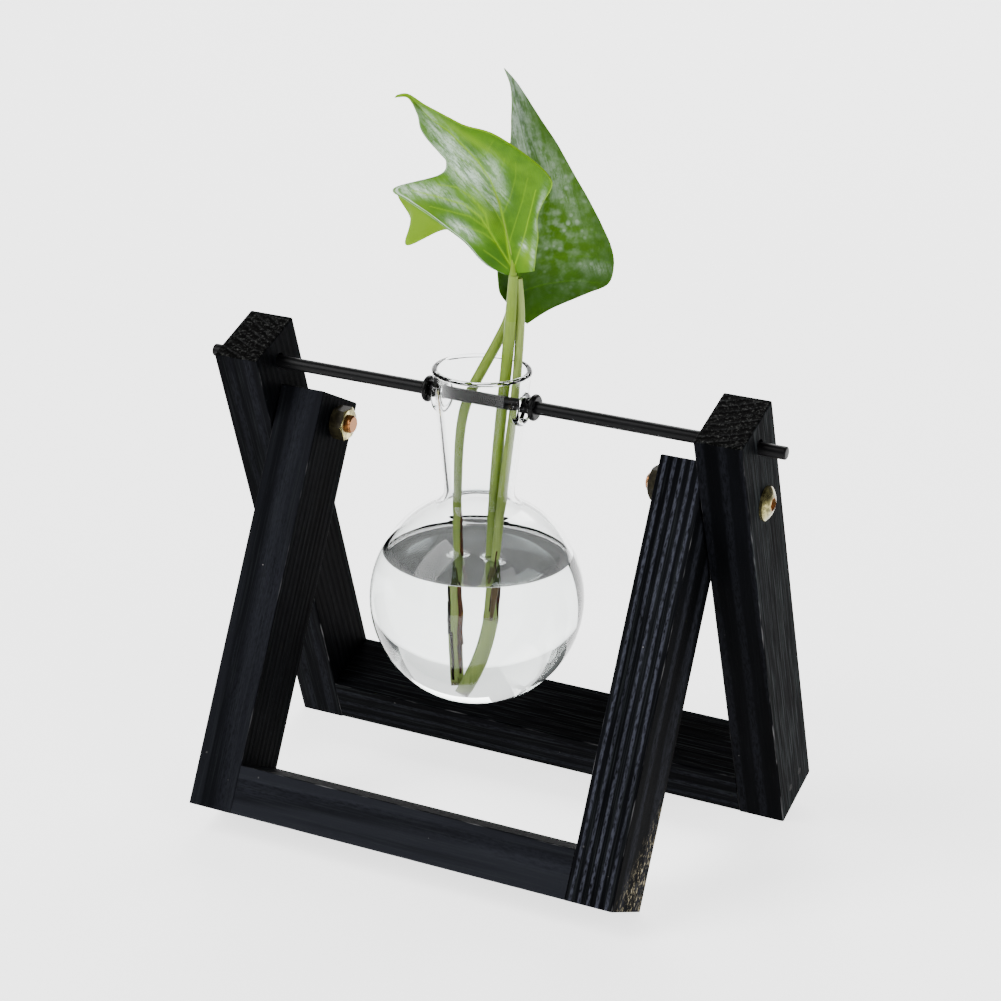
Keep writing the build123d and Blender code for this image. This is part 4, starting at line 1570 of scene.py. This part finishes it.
class GrowLeaves(bpy.types.Operator):
    """Grows the two leaves and their midribs, with nets read from the photograph"""

    bl_idname = "vase.grow_leaves"
    bl_label = "Grow the leaves"

    def execute(self, context):
        cutting = context.scene.cutting_settings
        green, young_and_backlit = Vector(cutting.leaf_green), Vector(cutting.leaf_bright)
        silver_and_painted_sheen = Vector(cutting.leaf_silver_and_sheen)
        deep = Vector((green.x * 0.36, green.y * 0.5, green.z * 0.5))
        front_skin = leaf_skin(
            "front_leaf_skin",
            base=green,
            deep=deep,
            bright=young_and_backlit,
            silver_and_painted_sheen=silver_and_painted_sheen,
            speckles=0.0,
            vein_tone=young_and_backlit * 1.15,
            sheen_direction=48,
            folded=True,
        )
        rear_skin = leaf_skin(
            "rear_leaf_skin",
            base=green * 0.7,
            deep=deep * 0.8,
            bright=green * 0.8,
            silver_and_painted_sheen=silver_and_painted_sheen * 0.8,
            speckles=0.75,
            vein_tone=green * 1.3,
            sheen_direction=75,
            folded=False,
        )
        stem_green = Vector(cutting.stem_green)
        rib_skin = stem_skin(
            "midrib_skin", stem_green, pale=stem_green * 1.3, shade=stem_green * 0.6, low=0, high=vase_seat.z
        )
        leaf("leaf_front_grown", "leaf_front", FRONT_LEAF, front_skin)
        leaf("leaf_rear_grown", "leaf_rear", REAR_LEAF, rear_skin)
        midrib("midrib_front", "middle", FRONT_LEAF, rib_skin)
        midrib("midrib_rear", "left", REAR_LEAF, rib_skin)
        return {"FINISHED"}


# Finishes of the CAD nodes

COPPER = (0.22, 0.09, 0.03)
ROD_CORNER = 0.5 * MM


class FinishWood(bpy.types.Operator):
    """Stains the legs and bars black, each with its own growth rings"""

    bl_idname = "vase.finish_wood"
    bl_label = "Stain the wood"

    def execute(self, context):
        stand = context.scene.stand_settings
        for node, look in WOOD_LOOKS.items():
            lean = stand.front_lean if node.startswith("front") else -stand.back_lean
            finish_node(node, black_wood(f"{node}_wood", node, lean, look))
        return {"FINISHED"}


class FinishMetal(bpy.types.Operator):
    """Plates the bolts and nuts, darkens the brads, paints the rod and blackens the rings"""

    bl_idname = "vase.finish_metal"
    bl_label = "Finish the metal and rubber"

    def execute(self, context):
        stand = context.scene.stand_settings
        nut_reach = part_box("pivot_nut_right")[1].x
        # The nuts get a brighter copy of the bolts' plating: painted light on their lit faces
        lit_nut_plating = Vector(stand.brass) * 1.7
        for side in ("left", "right"):
            bolt, nut = f"pivot_bolt_{side}", f"pivot_nut_{side}"
            bolt_plating = plated_metal(
                f"bolt_plating_{side}", bolt, stand.brass, COPPER, inner_reach=nut_reach, painted_dark_walls=0.3
            )
            finish_node(bolt, bolt_plating)
            nut_plating = plated_metal(
                f"nut_plating_{side}", nut, lit_nut_plating, COPPER, inner_reach=0, painted_dark_walls=0.97
            )
            finish_node(nut, nut_plating)
            finish_node(f"front_brads_{side}", dark_steel(f"front_brad_steel_{side}"))
            finish_node(f"back_brads_{side}", dark_steel(f"back_brad_steel_{side}"))
            finish_node(f"rubber_ring_{side}", rubber(f"rubber_{side}"))
        radius = rod_radius + stand.paint_thickness
        outline = [Vector((rod_low.x, 0))]
        outline += arc_points((rod_low.x + ROD_CORNER, radius - ROD_CORNER), ROD_CORNER, 180, 90, 6)
        outline += arc_points((rod_high.x - ROD_CORNER, radius - ROD_CORNER), ROD_CORNER, 90, 0, 6)
        outline.append(Vector((rod_high.x, 0)))
        outline = [Vector((along, rod_middle.y, rod_middle.z + away)) for along, away in outline]
        rod = lathe("painted_rod", outline, rod_middle, ALONG_ROD, 64)
        smooth(rod, 40)
        finish_piece(rod, rod_paint("rod_paint", stand.paint), "rod", "black_rod", "hanging_rod")
        return {"FINISHED"}


# Studio: sizes and places in metres

FLOOR_SIZE = 40
WALL_SIZE = 5
WALL_DISTANCE = 4.5
WALL_HEIGHT = 2.4
WALL_GLOW_SHARE = 0.25
# The lights look at the object's lower half
LIGHT_TARGET = Vector((0, 0, 0.1))
# Light, its place, its share of the key's power, its width and its height
LIGHTS = (
    ("key", (-1.1, -1.2, 1.6), 1.0, 1.1, 1.7),
    ("fill", (1.7, -0.7, 1.0), 0.25, 0.8, 1.4),
    ("back", (-0.4, 1.8, 1.5), 0.8, 1.6, 1.0),
)
SKY_COLOUR = (0.98, 0.99, 1.0, 1.0)


def studio_plane(name, size, place, turn, material):
    """A flat piece of the studio."""
    deselect()
    bpy.ops.mesh.primitive_plane_add(size=size, location=place, rotation=turn)
    plane = bpy.context.object
    plane.name = name
    plane.data.materials.append(material)
    return plane


def studio_paint(name, dark, light, roughness, glow):
    """A matt paint that wavers between two greys and gives some light itself."""
    finish = Finish(name)
    tone = finish.noise(finish.coordinates(), 3.0)
    finish.set(Base_Color=finish.mix(tone, (dark, dark, dark), (light, light, light)), Roughness=roughness)
    return finish.set(Specular_IOR_Level=0.1, Emission_Color=(1.0, 1.0, 1.0), Emission_Strength=glow)


class SetStage(bpy.types.Operator):
    """Sets the camera, the pale floor and backdrop and the soft studio lights"""

    bl_idname = "vase.set_stage"
    bl_label = "Set the stage"

    def execute(self, context):
        studio = context.scene.studio_settings
        place, right, up, back = camera_axes()
        deselect()
        bpy.ops.object.camera_add(location=(0, 0, 0))
        camera = context.object
        camera.matrix_world = Matrix((
            (right.x, up.x, back.x, place.x),
            (right.y, up.y, back.y, place.y),
            (right.z, up.z, back.z, place.z),
            (0, 0, 0, 1),
        ))
        camera.data.lens = studio.lens
        camera.data.sensor_width = SENSOR_WIDTH
        context.scene.camera = camera

        white = studio_paint(
            "studio_white", dark=0.90, light=0.92, roughness=0.8, glow=studio.floor_glow
        )
        floor = studio_plane("studio_floor", FLOOR_SIZE, (0, 0, 0), (0, 0, 0), white)
        grey = studio_paint(
            "studio_grey", dark=0.78, light=0.80, roughness=0.9, glow=studio.floor_glow * WALL_GLOW_SHARE
        )
        behind = -Vector((math.sin(studio.azimuth), -math.cos(studio.azimuth), 0))
        upstanding = (math.radians(90), 0, studio.azimuth)
        wall = studio_plane(
            "studio_wall", WALL_SIZE, behind * WALL_DISTANCE + UP * WALL_HEIGHT, upstanding, grey
        )

        for name, spot, share, width, height in LIGHTS:
            deselect()
            bpy.ops.object.light_add(type="AREA", location=spot)
            light = context.object
            light.name = f"{name}_light"
            light.data.energy = studio.key_power * share
            light.data.shape = "RECTANGLE"
            light.data.size = width
            light.data.size_y = height
            light.rotation_euler = (Vector(spot) - LIGHT_TARGET).to_track_quat("Z", "Y").to_euler()

        world = bpy.data.worlds.new("studio_air")
        world.use_nodes = True
        shade = world.node_tree.nodes["Background"]
        shade.inputs["Color"].default_value = SKY_COLOUR
        shade.inputs["Strength"].default_value = studio.sky
        context.scene.world = world
        return {"FINISHED"}


STEPS = (SetStage, FinishWood, FinishMetal, BlowGlass, FillWater, GrowStems, GrowLeaves)


class VasePanel(bpy.types.Panel):
    """Settings and steps of the propagation vase"""

    bl_idname = "VIEW3D_PT_propagation_vase"
    bl_label = "Propagation vase"
    bl_space_type = "VIEW_3D"
    bl_region_type = "UI"
    bl_category = "Vase"

    def draw(self, context):
        for name in SETTINGS:
            settings = getattr(context.scene, name)
            box = self.layout.box()
            for key in settings.bl_rna.properties.keys():
                if key not in ("rna_type", "name"):
                    box.prop(settings, key)
        for step in STEPS:
            self.layout.operator(step.bl_idname)


def register():
    """Adds the settings, the steps and the panel to Blender."""
    for name, group in SETTINGS.items():
        bpy.utils.register_class(group)
        setattr(bpy.types.Scene, name, bpy.props.PointerProperty(type=group))
    for step in STEPS:
        bpy.utils.register_class(step)
    bpy.utils.register_class(VasePanel)


def unregister():
    """Takes them out again."""
    bpy.utils.unregister_class(VasePanel)
    for step in reversed(STEPS):
        bpy.utils.unregister_class(step)
    for name, group in reversed(SETTINGS.items()):
        delattr(bpy.types.Scene, name)
        bpy.utils.unregister_class(group)


def main():
    """Builds the whole scene."""
    register()
    bpy.ops.vase.set_stage()
    bpy.ops.vase.finish_wood()
    bpy.ops.vase.finish_metal()
    bpy.ops.vase.blow_glass()
    bpy.ops.vase.fill_water()
    bpy.ops.vase.grow_stems()
    bpy.ops.vase.grow_leaves()


if __name__ == "__main__":
    main()
